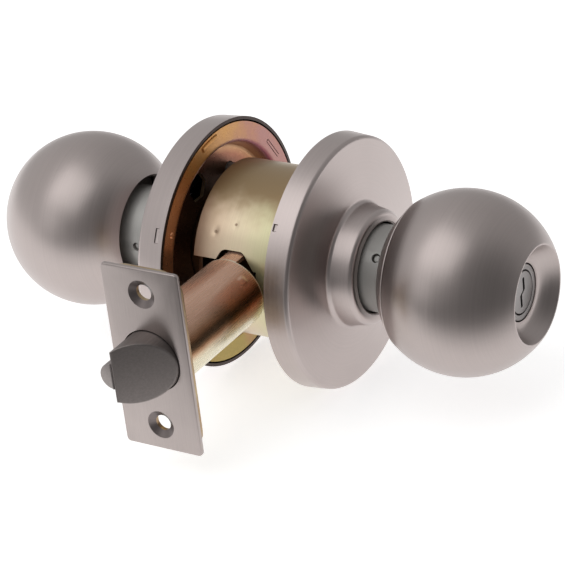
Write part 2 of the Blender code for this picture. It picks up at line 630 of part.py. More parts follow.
def key_cylinder(reach, knob, plug_body):
    """Cylinder with its pin housing, its plug with the keyway, and the plug's tailpiece."""
    face = DOOR_HALF + reach + FACE_OFFSET
    rear = face - CYLINDER_LENGTH
    shoulder = face - BALL_WALL - 2 * CLEARANCE
    bore = PLUG_RADIUS + CLEARANCE
    shoulder_back = shoulder - CYLINDER_SHOULDER_LENGTH
    section = [
        (bore, rear), (CYLINDER_RADIUS, rear), (CYLINDER_RADIUS, shoulder_back),
        (SHOULDER_RADIUS, shoulder_back), (SHOULDER_RADIUS, shoulder),
        (CYLINDER_RADIUS, shoulder), (CYLINDER_RADIUS, face), (bore, face),
    ]
    body = spin("key_cylinder_body", section, PALE_STEEL, knob, steps=SMALL_STEPS)
    low = (bore + CYLINDER_RADIUS) / 2
    outline = rectangle(PIN_HOUSING_WIDTH, PIN_HOUSING_HEIGHT - low, PIN_HOUSING_CORNER,
                        (0, -(low + PIN_HOUSING_HEIGHT) / 2))
    housing_rear = DOOR_HALF + reach + 2 * NECK_FLANGE_WALL
    housing_front = shoulder_back - PIN_HOUSING_SETBACK
    join(body, prism("pin_housing_tool", outline, "Y", housing_rear, housing_front, PALE_STEEL, knob))
    section = rounded([(0, rear, 0), (PLUG_RADIUS, rear, 0), (PLUG_RADIUS, face, FINE_EDGE), (0, face, 0)])
    plug = spin("key_plug", section, PALE_STEEL, plug_body, steps=SMALL_STEPS)
    low, high = face - KEYWAY_DEPTH, face + CUT_PAST
    cut(plug, prism("keyway_tool", keyway_outline(), "Y", low, high, DARK_STEEL, plug_body))
    bar = rectangle(BAR_THICKNESS, BAR_WIDTH)
    prism("cylinder_tailpiece", bar, "Y", CAM_OUTER + 2 * CLEARANCE, rear - SEAM, BRASS, plug_body)


def turn_button(reach, knob, button_body):
    """Locking button in the inside knob's dish, its bushing, and the rod to the lock cam."""
    face = DOOR_HALF + reach + FACE_OFFSET
    shoulder = face - BALL_WALL - 2 * CLEARANCE
    rear = shoulder - BUTTON_BUSHING_LENGTH
    stem = BAR_WIDTH / 2 + BUTTON_STEM_WALL
    section = [
        (stem + CLEARANCE, rear), (SHOULDER_RADIUS, rear), (SHOULDER_RADIUS, shoulder),
        (CYLINDER_RADIUS, shoulder), (CYLINDER_RADIUS, face), (stem + CLEARANCE, face),
    ]
    spin("button_bushing", section, PALE_STEEL, knob, steps=SMALL_STEPS)
    base = face + CLEARANCE
    top = base + BUTTON_BASE_HEIGHT
    section = rounded([
        (0, rear, 0), (stem, rear, 0), (stem, base, 0), (CYLINDER_RADIUS - CLEARANCE, base, 0),
        (CYLINDER_RADIUS - CLEARANCE - SOFT_EDGE, top, SOFT_EDGE), (0, top, 0),
    ])
    button = spin("turn_button", section, STEEL, button_body, steps=SMALL_STEPS)
    outline = rectangle(BUTTON_GRIP_WIDTH, BUTTON_GRIP_LENGTH, SHEET_BEND)
    grip_low, grip_high = (base + top) / 2, base + BUTTON_GRIP_HEIGHT
    join(button, prism("grip_tool", outline, "Y", grip_low, grip_high, STEEL, button_body))
    bar = rectangle(BAR_THICKNESS, BAR_WIDTH)
    prism("button_rod", bar, "Y", -CAM_INNER + SEAM, rear - SEAM, BRASS, button_body)
    prism("lock_cam", cam_outline(), "Y", -CAM_OUTER, -CAM_INNER, DARK_STEEL, button_body)


def cam_outline():
    """Outline of the lock cam in (x, z): two round-cornered lobes and a wider waist."""
    reach, end, waist = SPINDLE_BORE - CAM_ROOM, CAM_END_WIDTH / 2, CAM_WAIST / 2
    return rounded([
        (-end, -reach, CAM_CORNER), (end, -reach, CAM_CORNER), (waist, 0, 2 * CAM_CORNER),
        (end, reach, CAM_CORNER), (-end, reach, CAM_CORNER), (-waist, 0, 2 * CAM_CORNER),
    ], closed=True)


def chassis_housing(parent):
    """Drum closed at its outer end, with screw holes there and the arched latch opening in its side."""
    start, end = -DRUM_HALF_LENGTH, DRUM_HALF_LENGTH
    path = [(BEARING_BORE, start, 0), (DRUM_RADIUS, start, WIDE_BEND), (DRUM_RADIUS, end, 0)]
    drum = spin("chassis_housing", sheet(path, DRUM_WALL), ZINC, parent, steps=ROUND_STEPS)
    low, high = -DRUM_RADIUS - CUT_PAST, -math.sqrt(DRUM_RADIUS ** 2 - ARCH_TOP ** 2) + 2 * CUT_PAST
    cut(drum, prism("latch_opening_tool", latch_opening_outline(), "X", low, high, ZINC, parent))
    low, high = start - CUT_PAST, start + DRUM_WALL + CUT_PAST
    for name, angle in screw_places():
        hole = circle(SCREW_RADIUS + 2 * CLEARANCE, on_circle(SCREW_CIRCLE, angle), HOLE_STEPS)
        cut(drum, prism(f"drum_hole_tool_{name}", hole, "Y", low, high, ZINC, parent))
    return drum


def latch_opening_outline():
    """Opening in the drum's side in (y, z): the arch over the tube's tongues and its lower stretches."""
    left, right = ARCH_MIDDLE + ARCH_HALF_WIDTH, ARCH_MIDDLE - ARCH_HALF_WIDTH
    upper = [
        (DRUM_HALF_LENGTH + CUT_PAST, SLOT_HALF_HEIGHT, 0),
        (left + ARCH_FOOT, SLOT_HALF_HEIGHT, FINE_EDGE),
        (left, ARCH_TOP, ARCH_BEND),
        (right, ARCH_TOP, ARCH_BEND),
        (right - ARCH_SLOPE, LEDGE_HALF_HEIGHT, SOFT_EDGE),
        (right - ARCH_SLOPE - LEDGE_REACH, LEDGE_HALF_HEIGHT, 0),
    ]
    lower = [(y, -z, radius) for y, z, radius in reversed(upper)]
    return rounded(upper + lower, closed=True)


def screw_places():
    """Name and angle of the two mounting screws, opposite each other."""
    return (("upper", SCREW_ANGLE), ("lower", SCREW_ANGLE + 180))


def chassis_hubs(parent):
    """Bearing sleeves with a flange each: one outside the drum's closed end, one closing its open end."""
    reach = DOOR_HALF + BEARING_REACH
    flange = DRUM_HALF_LENGTH + SEAM
    bore = BEARING_BORE
    outer = [
        (bore, -reach), (BEARING_RADIUS, -reach), (BEARING_RADIUS, -flange), (bore, -flange),
    ]
    spin("outside_hub", outer, ZINC, parent, steps=NECK_STEPS)
    inner_radius = DRUM_RADIUS - DRUM_WALL - CLEARANCE
    front = DRUM_HALF_LENGTH - 2 * CLEARANCE
    rear = front - BEARING_FLANGE_WALL
    inner = [
        (bore, rear), (inner_radius, rear), (inner_radius, front), (BEARING_RADIUS, front),
        (BEARING_RADIUS, reach), (bore, reach),
    ]
    hub = spin("inside_hub", inner, ZINC, parent, steps=ROUND_STEPS)
    for name, angle in screw_places():
        hole = circle(SCREW_RADIUS + 2 * CLEARANCE, on_circle(SCREW_CIRCLE, angle), HOLE_STEPS)
        cut(hub, prism(f"hub_hole_tool_{name}", hole, "Y", rear - CUT_PAST, front + CUT_PAST, ZINC, parent))


def inside_mounting_plate(parent):
    """Dished plate under the inside rose: flange on the door, recess, hub hole, slots and screw holes."""
    seat, floor = DOOR_HALF, DOOR_HALF + RECESS_DEPTH
    path = [
        (BEARING_RADIUS + CLEARANCE, floor, 0), (RECESS_FLOOR_RADIUS, floor, SHEET_BEND),
        (RECESS_RADIUS, seat, WIDE_BEND), (PLATE_RADIUS, seat, 0),
    ]
    plate = spin("inside_mounting_plate", sheet(path, PLATE_WALL), ZINC, parent, steps=ROUND_STEPS)
    low, high = seat - CUT_PAST, floor + PLATE_WALL + CUT_PAST
    for name, angle in screw_places():
        hole = circle(SCREW_RADIUS + CLEARANCE, on_circle(SCREW_CIRCLE, angle), HOLE_STEPS)
        cut(plate, prism(f"inside_plate_hole_tool_{name}", hole, "Y", low, high, ZINC, parent))
    hexagon = circle(HEXAGON_ACROSS / math.sqrt(3), on_circle(SCREW_CIRCLE, HEXAGON_ANGLE), 6)
    cut(plate, prism("hexagon_tool", hexagon, "Y", low, high, ZINC, parent))
    middle = (RECESS_RADIUS + PLATE_RADIUS) / 2
    outline = rectangle(PLATE_SLIT_WIDTH, PLATE_SLIT_LENGTH)
    for index, angle in enumerate((PLATE_SLIT_ANGLE, PLATE_SLIT_ANGLE + 180)):
        slit = prism(f"plate_slit_tool_{index}", outline, "Y", low, high, ZINC, parent)
        x, z = on_circle(middle, angle)
        slit.location = (x, 0, z)
        slit.rotation_euler = (0, -math.radians(angle), 0)
        cut(plate, slit)
    return plate


def outside_mounting_plate(parent):
    """Plate under the outside rose: its middle rises to the drum, and two threaded bosses take the screws."""
    flange, floor = -DOOR_HALF, -DRUM_HALF_LENGTH - SEAM
    step = DOOR_BORE_RADIUS - 2 * CLEARANCE
    path = [
        (PLATE_RADIUS, flange, 0), (step, flange, SHEET_BEND),
        (step - PLATE_WALL, floor, SHEET_BEND), (BEARING_RADIUS + CLEARANCE, floor, 0),
    ]
    plate = spin("outside_mounting_plate", sheet(path, PLATE_WALL), ZINC, parent, steps=ROUND_STEPS)
    top = floor - PLATE_WALL
    boss_end = top - BOSS_HEIGHT
    for name, angle in screw_places():
        place = on_circle(SCREW_CIRCLE, angle)
        boss = circle(BOSS_RADIUS, place, HOLE_STEPS)
        join(plate, prism(f"boss_tool_{name}", boss, "Y", boss_end, top + PLATE_WALL / 3, ZINC, parent))
        hole = circle(SCREW_RADIUS + CLEARANCE, place, HOLE_STEPS)
        low, high = boss_end - CUT_PAST, floor + CUT_PAST
        cut(plate, prism(f"boss_hole_tool_{name}", hole, "Y", low, high, ZINC, parent))
    return plate


def mounting_screws(parent):
    """Two pan-head screws from the inside plate through the drum into the bosses of the outside plate."""
    seat = DOOR_HALF + RECESS_DEPTH + PLATE_WALL + SEAM
    tip = -DRUM_HALF_LENGTH - SEAM - PLATE_WALL - BOSS_HEIGHT + SCREW_TIP_SETBACK
    for name, angle in screw_places():
        section = rounded([
            (0, tip, 0), (SCREW_RADIUS, tip, 0), (SCREW_RADIUS, seat, 0), (SCREW_HEAD_RADIUS, seat, 0),
            (SCREW_HEAD_RADIUS, seat + SCREW_HEAD_HEIGHT, SOFT_EDGE), (0, seat + SCREW_HEAD_HEIGHT, 0),
        ])
        spin(f"mounting_screw_{name}", section, PALE_STEEL, parent, steps=HOLE_STEPS,
             centre=on_circle(SCREW_CIRCLE, angle))


def latch_plates(parent):
    """Faceplate with countersunk holes, and the yellow zinc plate behind it."""
    face = -BACKSET
    outline = rectangle(FACEPLATE_WIDTH, FACEPLATE_HEIGHT, FACEPLATE_CORNER)
    front = prism("faceplate", outline, "X", face, face + FACEPLATE_THICKNESS, STEEL, parent)
    back_face = face + FACEPLATE_THICKNESS + SEAM
    outline = rectangle(BACKING_WIDTH, BACKING_HEIGHT, BACKING_CORNER)
    back = prism("backing_plate", outline, "X", back_face, back_face + BACKING_THICKNESS, ZINC, parent)
    low, high = face - CUT_PAST, back_face + BACKING_THICKNESS + CUT_PAST
    for plate, radius in ((front, BOLT_RADIUS + CLEARANCE), (back, TUBE_RADIUS + SEAM)):
        hole = circle(radius, steps=ROUND_STEPS)
        cut(plate, prism(f"{plate.name}_hole_tool", hole, "X", low, high, STEEL, parent))
    for name, height in (("upper", SCREW_HOLE_SPACING / 2), ("lower", -SCREW_HOLE_SPACING / 2)):
        section = [(0, low), (COUNTERSINK_RADIUS, low), (COUNTERSINK_RADIUS, face),
                   (SCREW_HOLE_RADIUS, face + FACEPLATE_THICKNESS), (SCREW_HOLE_RADIUS, high), (0, high)]
        cut(front, spin(f"countersink_tool_{name}", section, STEEL, parent, axis="X", steps=SMALL_STEPS,
                        centre=(0, height)))
        hole = circle(SCREW_HOLE_RADIUS + CLEARANCE, (0, height), HOLE_STEPS)
        cut(back, prism(f"backing_hole_tool_{name}", hole, "X", low, high, ZINC, parent))


def latch_case(parent):
    """Tube staked in the backing plate, with two tongues that hook into the drum, and the guide in its end."""
    section = [
        (TUBE_BORE, TUBE_START), (TUBE_RADIUS, TUBE_START), (TUBE_RADIUS, TONGUE_END), (TUBE_BORE, TONGUE_END),
    ]
    tube = spin("latch_tube", section, BRONZED, parent, axis="X", steps=ROUND_STEPS)
    width = TUBE_RADIUS + CUT_PAST
    for side in (-1, 1):
        beside = rectangle(width, 2 * width, 0, (side * (TONGUE_HALF_WIDTH + width / 2), 0))
        cut(tube, prism(f"tongue_tool_{side}", beside, "X", TUBE_END, TONGUE_END + CUT_PAST, BRONZED, parent))
    radius = TUBE_BORE - CLEARANCE
    section = [(0, GUIDE_START), (radius, GUIDE_START), (radius, GUIDE_END), (0, GUIDE_END)]
    guide = spin("latch_end_guide", section, ZINC, parent, axis="X", steps=SMALL_STEPS)
    slot = rectangle(TAIL_THICKNESS + 2 * GUIDE_SLOT_ROOM, TAIL_WIDTH + 2 * GUIDE_SLOT_ROOM)
    low, high = GUIDE_START - CUT_PAST, GUIDE_END + CUT_PAST
    cut(guide, prism("guide_slot_tool", slot, "X", low, high, ZINC, parent))


def d_outline(radius, flat, steps):
    """Circle with everything beyond y = flat cut away."""
    start = math.acos(flat / radius)
    angles = [start + (2 * math.pi - 2 * start) * k / steps for k in range(steps + 1)]
    return [(radius * math.cos(a), radius * math.sin(a)) for a in angles]


def latch_bolt(parent):
    """Round bolt with a flat back and a bevelled nose: the nose runs straight from the tip to the low edge."""
    outline = d_outline(BOLT_RADIUS, BOLT_FLAT, BOLT_STEPS)
    bolt = prism("latch_bolt", outline, "X", -BACKSET, BOLT_REAR, DARK_STEEL, parent)
    slope = (BOLT_THROW - BEVEL_START) / (BOLT_FLAT + BOLT_RADIUS)
    for vertex in bolt.data.vertices:
        if vertex.co.x < -BACKSET + 1e-6:
            vertex.co.x = BOLT_TIP + (BOLT_FLAT - vertex.co.y) * slope
    return bolt


def latch_tail(parent):
    """Flat bar from the bolt to the retractor's jaws, with a T-shaped head."""
    start = BOLT_REAR + SEAM
    head = -RETRACTOR_FRONT + RETRACTOR_JAW + CLEARANCE
    end = head + TAIL_HEAD_LENGTH
    half, head_half = TAIL_WIDTH / 2, TAIL_HEAD_WIDTH / 2
    outline = [
        (start, -half), (head, -half), (head, -head_half), (end, -head_half),
        (end, head_half), (head, head_half), (head, half), (start, half),
    ]
    prism("latch_tail", outline, "Y", -TAIL_THICKNESS / 2, TAIL_THICKNESS / 2, DARK_STEEL, parent)


def deadlatch_plunger(parent):
    """Bar against the bolt's flat back; its section is half an ellipse that fills the bore's other side."""
    depth = BOLT_RADIUS - PLUNGER_FLAT
    angles = [math.pi * (k / HOLE_STEPS - 0.5) for k in range(HOLE_STEPS + 1)]
    outline = [(PLUNGER_FLAT + depth * math.cos(a), PLUNGER_HALF_HEIGHT * math.sin(a)) for a in angles]
    prism("deadlatch_plunger", outline, "X", BOLT_TIP + PLUNGER_SETBACK, PLUNGER_REAR, DARK_STEEL, parent)


def retractor(parent):
    """Sliding frame: jaws for the latch tail, a window for the button rod, and the block that the tabs push."""
    web_rear = (BLOCK_FRONT + BLOCK_REAR) / 2
    middle = (web_rear - RETRACTOR_FRONT) / 2
    outline = rectangle(RETRACTOR_FRONT + web_rear, RETRACTOR_HEIGHT, RETRACTOR_CORNER, (middle, 0))
    web = prism("retractor", outline, "Y", -RETRACTOR_WEB / 2, RETRACTOR_WEB / 2, ZINC, parent)
    outline = rectangle(BLOCK_DEPTH, BLOCK_HEIGHT, SOFT_EDGE, ((BLOCK_REAR + BLOCK_FRONT) / 2, 0))
    join(web, prism("retractor_block_tool", outline, "Y", -BLOCK_HALF_WIDTH, BLOCK_HALF_WIDTH, ZINC, parent))
    window_front = -RETRACTOR_FRONT + RETRACTOR_JAW
    middle = (window_front + WINDOW_REAR) / 2
    window = rectangle(WINDOW_REAR - window_front, WINDOW_HEIGHT, SOFT_EDGE, (middle, 0))
    cut(web, prism("retractor_window_tool", window, "Y", -RETRACTOR_WEB, RETRACTOR_WEB, ZINC, parent))
    jaw = rectangle(2 * (RETRACTOR_JAW + FINE_EDGE), TAIL_WIDTH + 2 * CLEARANCE, 0, (-RETRACTOR_FRONT, 0))
    cut(web, prism("jaw_slot_tool", jaw, "Y", -RETRACTOR_WEB, RETRACTOR_WEB, ZINC, parent))


def springs(parent):
    """Compression springs of the bolt, the plunger and the retractor."""
    end = GUIDE_START - CLEARANCE
    place = TUBE_BORE - CLEARANCE - PLUNGER_SPRING_RADIUS - PLUNGER_SPRING_WIRE
    coil("plunger_spring", PLUNGER_REAR + CLEARANCE, end, PLUNGER_SPRING_RADIUS, PLUNGER_SPRING_WIRE,
         PLUNGER_SPRING_TURNS, (place, 0), PALE_STEEL, parent)
    radius = place - PLUNGER_SPRING_RADIUS - PLUNGER_SPRING_WIRE - CLEARANCE - BOLT_SPRING_WIRE
    coil("bolt_spring", BOLT_REAR + CLEARANCE, end, radius, BOLT_SPRING_WIRE,
         BOLT_SPRING_TURNS, (0, 0), PALE_STEEL, parent)
    place = RETRACTOR_SPRING_HEIGHT + RETRACTOR_SPRING_RADIUS + RETRACTOR_SPRING_WIRE
    wall = math.sqrt((DRUM_RADIUS - DRUM_WALL) ** 2 - place ** 2) - CLEARANCE
    for name, side in (("upper", 1), ("lower", -1)):
        centre = (0, side * RETRACTOR_SPRING_HEIGHT)
        coil(f"retractor_spring_{name}", BLOCK_REAR + CLEARANCE, wall, RETRACTOR_SPRING_RADIUS,
             RETRACTOR_SPRING_WIRE, RETRACTOR_SPRING_TURNS, centre, PALE_STEEL, parent)


def build():
    """Make every body of the set and its pieces."""
    clear_scene()
    chassis = body_empty("chassis")
    outwards = body_empty("outside_side", turn=math.pi)
    chassis_housing(chassis)
    chassis_hubs(chassis)
    inside_mounting_plate(chassis)
    outside_mounting_plate(chassis)
    mounting_screws(chassis)
    inside_cover = rose("inside_rose", INSIDE_RIM_DEPTH, chassis)
    rim_slot(inside_cover, "inside_rim_slot_tool", INSIDE_SLOT_ANGLE, INSIDE_SLOT_PLACE, RIM_SLOT_LENGTH,
             chassis)
    outside_cover = rose("outside_rose", OUTSIDE_RIM_DEPTH, outwards)
    rim_slot(outside_cover, "outside_rim_slot_tool", 180.0 - OUTSIDE_SLOT_ANGLE, OUTSIDE_SLOT_PLACE,
             RIM_SLOT_LENGTH / 2, outwards)
    latch_plates(chassis)
    latch_case(chassis)
    springs(chassis)

    retractor(body_empty("retractor_slide"))
    bolt_body = body_empty("bolt_slide")
    latch_bolt(bolt_body)
    latch_tail(bolt_body)
    deadlatch_plunger(body_empty("plunger_slide"))

    outside_knob = body_empty("outside_knob", turn=math.pi)
    knob_shell("outside_knob_shell", OUTSIDE_REACH, BACK_RING_RADIUS, outside_knob)
    back_ring("outside_back_ring", OUTSIDE_REACH, outside_knob)
    knob_side("outside", OUTSIDE_REACH, BLOCK_HALF_WIDTH + CLEARANCE, OUTSIDE_CATCH_OFFSET,
              OUTSIDE_CATCH_ANGLE, outside_knob)
    plug_body = body_empty("plug_turn", turn=math.pi)
    key_cylinder(OUTSIDE_REACH, outside_knob, plug_body)

    inside_knob = body_empty("inside_knob")
    knob_shell("inside_knob_shell", INSIDE_REACH, BACK_OPENING_RADIUS, inside_knob)
    knob_side("inside", INSIDE_REACH, TAB_REACH, INSIDE_CATCH_OFFSET, 180.0 - INSIDE_CATCH_ANGLE, inside_knob)
    turn_button(INSIDE_REACH, inside_knob, body_empty("button_turn"))


build()
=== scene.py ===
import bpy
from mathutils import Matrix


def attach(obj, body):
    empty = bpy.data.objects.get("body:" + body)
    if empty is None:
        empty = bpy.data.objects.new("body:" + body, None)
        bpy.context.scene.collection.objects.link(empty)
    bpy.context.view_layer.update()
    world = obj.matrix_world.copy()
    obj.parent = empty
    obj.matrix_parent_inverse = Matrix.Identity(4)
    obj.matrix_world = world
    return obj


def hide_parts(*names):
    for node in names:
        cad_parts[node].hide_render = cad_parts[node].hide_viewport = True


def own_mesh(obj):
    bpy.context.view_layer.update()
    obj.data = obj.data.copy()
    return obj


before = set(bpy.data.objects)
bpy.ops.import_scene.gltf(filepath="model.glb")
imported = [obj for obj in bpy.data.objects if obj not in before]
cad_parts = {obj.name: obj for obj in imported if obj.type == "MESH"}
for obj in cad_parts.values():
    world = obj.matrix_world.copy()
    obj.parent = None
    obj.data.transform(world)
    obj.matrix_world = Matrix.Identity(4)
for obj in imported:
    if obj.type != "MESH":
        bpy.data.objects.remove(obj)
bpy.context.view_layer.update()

import math

import bmesh
import bpy
import numpy as np
from mathutils import Matrix, Vector

# Sizes in millimetres. The knobs turn about Y, the latch slides along X, and angles about Y are in
# degrees from +X towards +Z. The gap round a neck is narrower and the lip of a rose's hub deeper than
# in the solids, so that no light shows through.
MM = 0.001
FIT = 0.3
DOOR_HALF = 17.5
OUTWARD = {"outside": -1.0, "inside": 1.0}

ROSE_RADIUS, ROSE_FRONT_RADIUS, ROSE_WALL, ROSE_CROWN = 38.0, 37.4, 1.0, 1.6
RIM_DEPTH = {"outside": 7.3, "inside": 8.7}
HUB_BASE_RADIUS, HUB_TOP_RADIUS, HUB_HEIGHT, HUB_LIP_DEPTH = 18.2, 16.8, 7.6, 4.0
# Slot in a rose's rim: its angle, its distance from the door and its length
RIM_SLOT = {"outside": (140.0, 1.0, 2.2), "inside": (152.0, 2.2, 4.4)}
RIM_SLOT_HALF_WIDTH = 0.65

BALL_RADIUS, BALL_WALL = 27.0, 1.2
REACH = {"outside": 44.094, "inside": 50.894}
DISH_RADIUS, DISH_DEPTH, DISH_RIM = 14.4, 5.0, 0.8
BACK_OPENING, BACK_RING_RADIUS, BACK_RING_RISE = 16.6, 22.4, 1.0
NECK_RADIUS, NECK_WALL, NECK_GAP = 12.9, 1.5, 0.45
NECK_FLANGE_WALL, NECK_FLANGE_OFFSET = 1.6, 4.0
CATCH_HOLE_RADIUS = 1.4
CATCH_ALONG = {"outside": 38.4, "inside": 43.5}
CATCH_ANGLE = {"outside": 138.0, "inside": 179.0}
SPINDLE_WALL, TAB_HALF_WIDTH, TAB_ROOT = 1.2, 3.8, 9.5
TAB_TIP = {"outside": 8.3, "inside": 4.4}
CYLINDER_RADIUS, CYLINDER_LENGTH = 8.2, 26.5
CYLINDER_SHOULDER, SHOULDER_LENGTH = 1.6, 3.0
PIN_HOUSING_WIDTH, PIN_HOUSING_REACH = 8.8, 12.8
PLUG_RADIUS, KEYWAY_WIDTH, KEYWAY_HEIGHT, KEYWAY_DEPTH = 6.2, 1.1, 8.4, 12.0
BUTTON_STEM_RADIUS, BUTTON_BASE, COLLAR_LENGTH = 3.1, 1.6, 5.0
# Width, length and height of the turn button's grip
BUTTON_GRIP = (3.4, 12.8, 6.8)

DRUM_RADIUS, DRUM_HALF, DRUM_WALL = 26.0, 14.0, 1.2
# Pressed dimples: angle, place along the drum, depth and size
DRUM_DIMPLES = ((144.2, 7.7, 0.30, 0.7), (137.7, 1.5, 0.22, 0.6))
# Upper edge of the latch opening, from the open end: lower stretch, arch over the tongues, ledge
OPENING_EDGE = [(DRUM_HALF + 2.0, 8.2, 0.0), (6.4, 8.2, 0.4), (4.6, 11.2, 2.6), (-2.6, 11.2, 2.6),
                (-6.4, 6.4, 0.8), (-7.4, 6.4, 0.0)]
HUB_WALL, HUB_REACH = 3.1, 12.1
SCREW_CIRCLE, SCREW_ANGLES, SCREW_RADIUS = 21.5, (60.0, 240.0), 2.2

PLATE_RADIUS, PLATE_WALL = 36.5, 1.2
RECESS_RADIUS, RECESS_FLOOR_RADIUS, RECESS_DEPTH = 30.5, 29.0, 5.0
HEXAGON_ANGLE, HEXAGON_RADIUS = 108.0, 4.5
SLIT_ANGLES, SLIT_WIDTH, SLIT_LENGTH, STRIP_WIDTH = (34.0, 214.0), 1.2, 8.8, 0.7
PRONG_RADII, PRONG_ANGLES = (34.2, 35.7), (91.0, 104.0)
# Radius and angle of the dimple in the inside plate's flange
PLATE_DIMPLE = (33.3, 151.0)
BORE_STEP_RADIUS, BOSS_RADIUS, BOSS_LENGTH = 26.4, 3.6, 4.0

BACKSET = 70.0
# Width, height and thickness
FACEPLATE = (25.4, 57.0, 1.3)
BACKING = (24.4, 56.0, 1.2)
SCREW_HOLE_SPACING, SCREW_HOLE_RADIUS, SINK_RADIUS = 41.3, 2.4, 4.3
BOLT_RADIUS, BOLT_THROW, BOLT_FLAT, BOLT_BODY, BEVEL_START = 9.2, 12.0, 4.8, 10.0, 0.6
PLUNGER_HALF_HEIGHT, PLUNGER_SETBACK, PLUNGER_REAR, PLUNGER_TRAVEL = 4.0, 0.4, -57.5, 10.5
TUBE_WALL, TUBE_END, TONGUE_END, TONGUE_HALF_WIDTH = 1.2, -28.0, -21.9, 2.8
GUIDE_START = TUBE_END - 4.0
# Square pressed out of the tube: angle from +Y towards +Z, place along X, half size and height
TUBE_EMBOSS = (135.8, -32.5, 1.3, 0.3)
# Springs: radius of the coil, radius of the wire and turns
BOLT_SPRING, PLUNGER_SPRING, RETRACTOR_SPRING = (4.45, 0.45, 7), (1.7, 0.30, 2.5), (2.6, 0.35, 5)
PLUNGER_SPRING_PLACE, PLUNGER_SPRING_MIDDLE = 7.2, -44.9
RETRACTOR_BLOCK_REAR, RETRACTOR_SPRING_HEIGHT, RETRACTOR_SPRING_SEAT = 8.0, 7.2, 22.33

SPINDLE_RADIUS = NECK_RADIUS - NECK_WALL - FIT
BEARING_BORE = SPINDLE_RADIUS + FIT
BEARING_RADIUS = BEARING_BORE + HUB_WALL
RIM_OFFSET = math.sqrt(BALL_RADIUS ** 2 - DISH_RADIUS ** 2)
FACE_OFFSET = RIM_OFFSET - DISH_DEPTH
# The middle of a knob's dish and the shoulder behind it, from the middle of the door
FACE = {side: DOOR_HALF + reach + FACE_OFFSET for side, reach in REACH.items()}
SHOULDER = {side: face - BALL_WALL - 2 * FIT for side, face in FACE.items()}
BACKING_FACE = -BACKSET + FACEPLATE[2] + FIT
TUBE_BORE = BOLT_RADIUS + FIT
TUBE_RADIUS = TUBE_BORE + TUBE_WALL
BOLT_TIP, BOLT_REAR = -BACKSET - BOLT_THROW, -BACKSET + BOLT_BODY

# Smoothness: points round a rose or ball, a neck, a button and a hole, and the angle of a sharp edge
ROUND_STEPS, NECK_STEPS, BUTTON_STEPS, HOLE_STEPS = 192, 120, 96, 32
SHARP_ANGLE = 32.0


# Curves

def rounded(corners, steps=6):
    """Closed outline whose corners (a, b, radius) become arcs.

    Each arc leaves its corner's sides radius * tan(turn / 2) from the corner, at most half of a
    side, and turns about the point that lies its radius to the inside.
    """
    table = np.array(corners, float)
    point, radius = table[:, :2], table[:, 2]
    side = point - np.roll(point, 1, axis=0)
    length = np.linalg.norm(side, axis=1)
    before = side / length[:, None]
    after = np.roll(before, -1, axis=0)
    across = before[:, 0] * after[:, 1] - before[:, 1] * after[:, 0]
    turn = np.arctan2(across, (before * after).sum(axis=1))
    half_turn = np.maximum(np.tan(np.abs(turn) / 2), 1e-9)
    room = 0.49 * np.minimum(length, np.roll(length, -1))
    cut = np.minimum(radius * half_turn, room)
    start = point - before * cut[:, None]
    inward = np.stack([-before[:, 1], before[:, 0]], axis=1) * np.sign(turn)[:, None]
    centre = start + inward * (cut / half_turn)[:, None]
    spoke = start - centre
    angle = turn[:, None] * np.linspace(0, 1, steps + 1)
    cos, sin = np.cos(angle), np.sin(angle)
    a = centre[:, :1] + spoke[:, :1] * cos - spoke[:, 1:] * sin
    b = centre[:, 1:] + spoke[:, :1] * sin + spoke[:, 1:] * cos
    outline = np.stack([a, b], axis=2).reshape(-1, 2)
    apart = np.linalg.norm(outline - np.roll(outline, 1, axis=0), axis=1) > 1e-5
    return outline[apart]


def opened(corners, steps=6):
    """The same for a path that isn't closed: its first and last corner stay sharp."""
    ends = [(*corners[0][:2], 0.0), *corners[1:-1], (*corners[-1][:2], 0.0)]
    return rounded(ends, steps)


def sheet(path, wall):
    """Closed section of sheet metal: the path, and the same path moved by the wall to its left."""
    ahead = np.gradient(path, axis=0)
    ahead /= np.linalg.norm(ahead, axis=1)[:, None]
    left = np.stack([-ahead[:, 1], ahead[:, 0]], axis=1)
    return np.concatenate([path, (path + left * wall)[::-1]])


def fill_straights(section, gap):
    """Section with points added along its long sides, so that no two are much over gap apart."""
    ends = np.roll(section, -1, axis=0)
    counts = np.maximum(np.ceil(np.linalg.norm(ends - section, axis=1) / gap), 1).astype(int)
    index = np.repeat(np.arange(len(section)), counts)
    step = np.arange(len(index)) - np.repeat(np.cumsum(counts) - counts, counts)
    share = (step / counts[index])[:, None]
    return section[index] * (1 - share) + ends[index] * share


def circle(radius, centre=(0.0, 0.0), steps=HOLE_STEPS):
    """Points at equal angles round a centre."""
    angle = np.linspace(0, 2 * np.pi, steps, endpoint=False)
    return np.stack([centre[0] + radius * np.cos(angle), centre[1] + radius * np.sin(angle)], axis=1)


def bar(width, height, corner, centre=(0.0, 0.0)):
    """Rectangle with round corners."""
    a, b = width / 2, height / 2
    corners = [(-a, -b), (a, -b), (a, b), (-a, b)]
    return rounded([(centre[0] + x, centre[1] + y, corner) for x, y in corners])


def on_circle(radius, degrees):
    """Point on a circle about the knobs' axis, from +X towards +Z."""
    angle = math.radians(degrees)
    return radius * math.cos(angle), radius * math.sin(angle)


# Meshes

def linked(name, data):
    """New object of the scene that holds the data."""
    made = bpy.data.objects.new(name, data)
    bpy.context.scene.collection.objects.link(made)
    return made


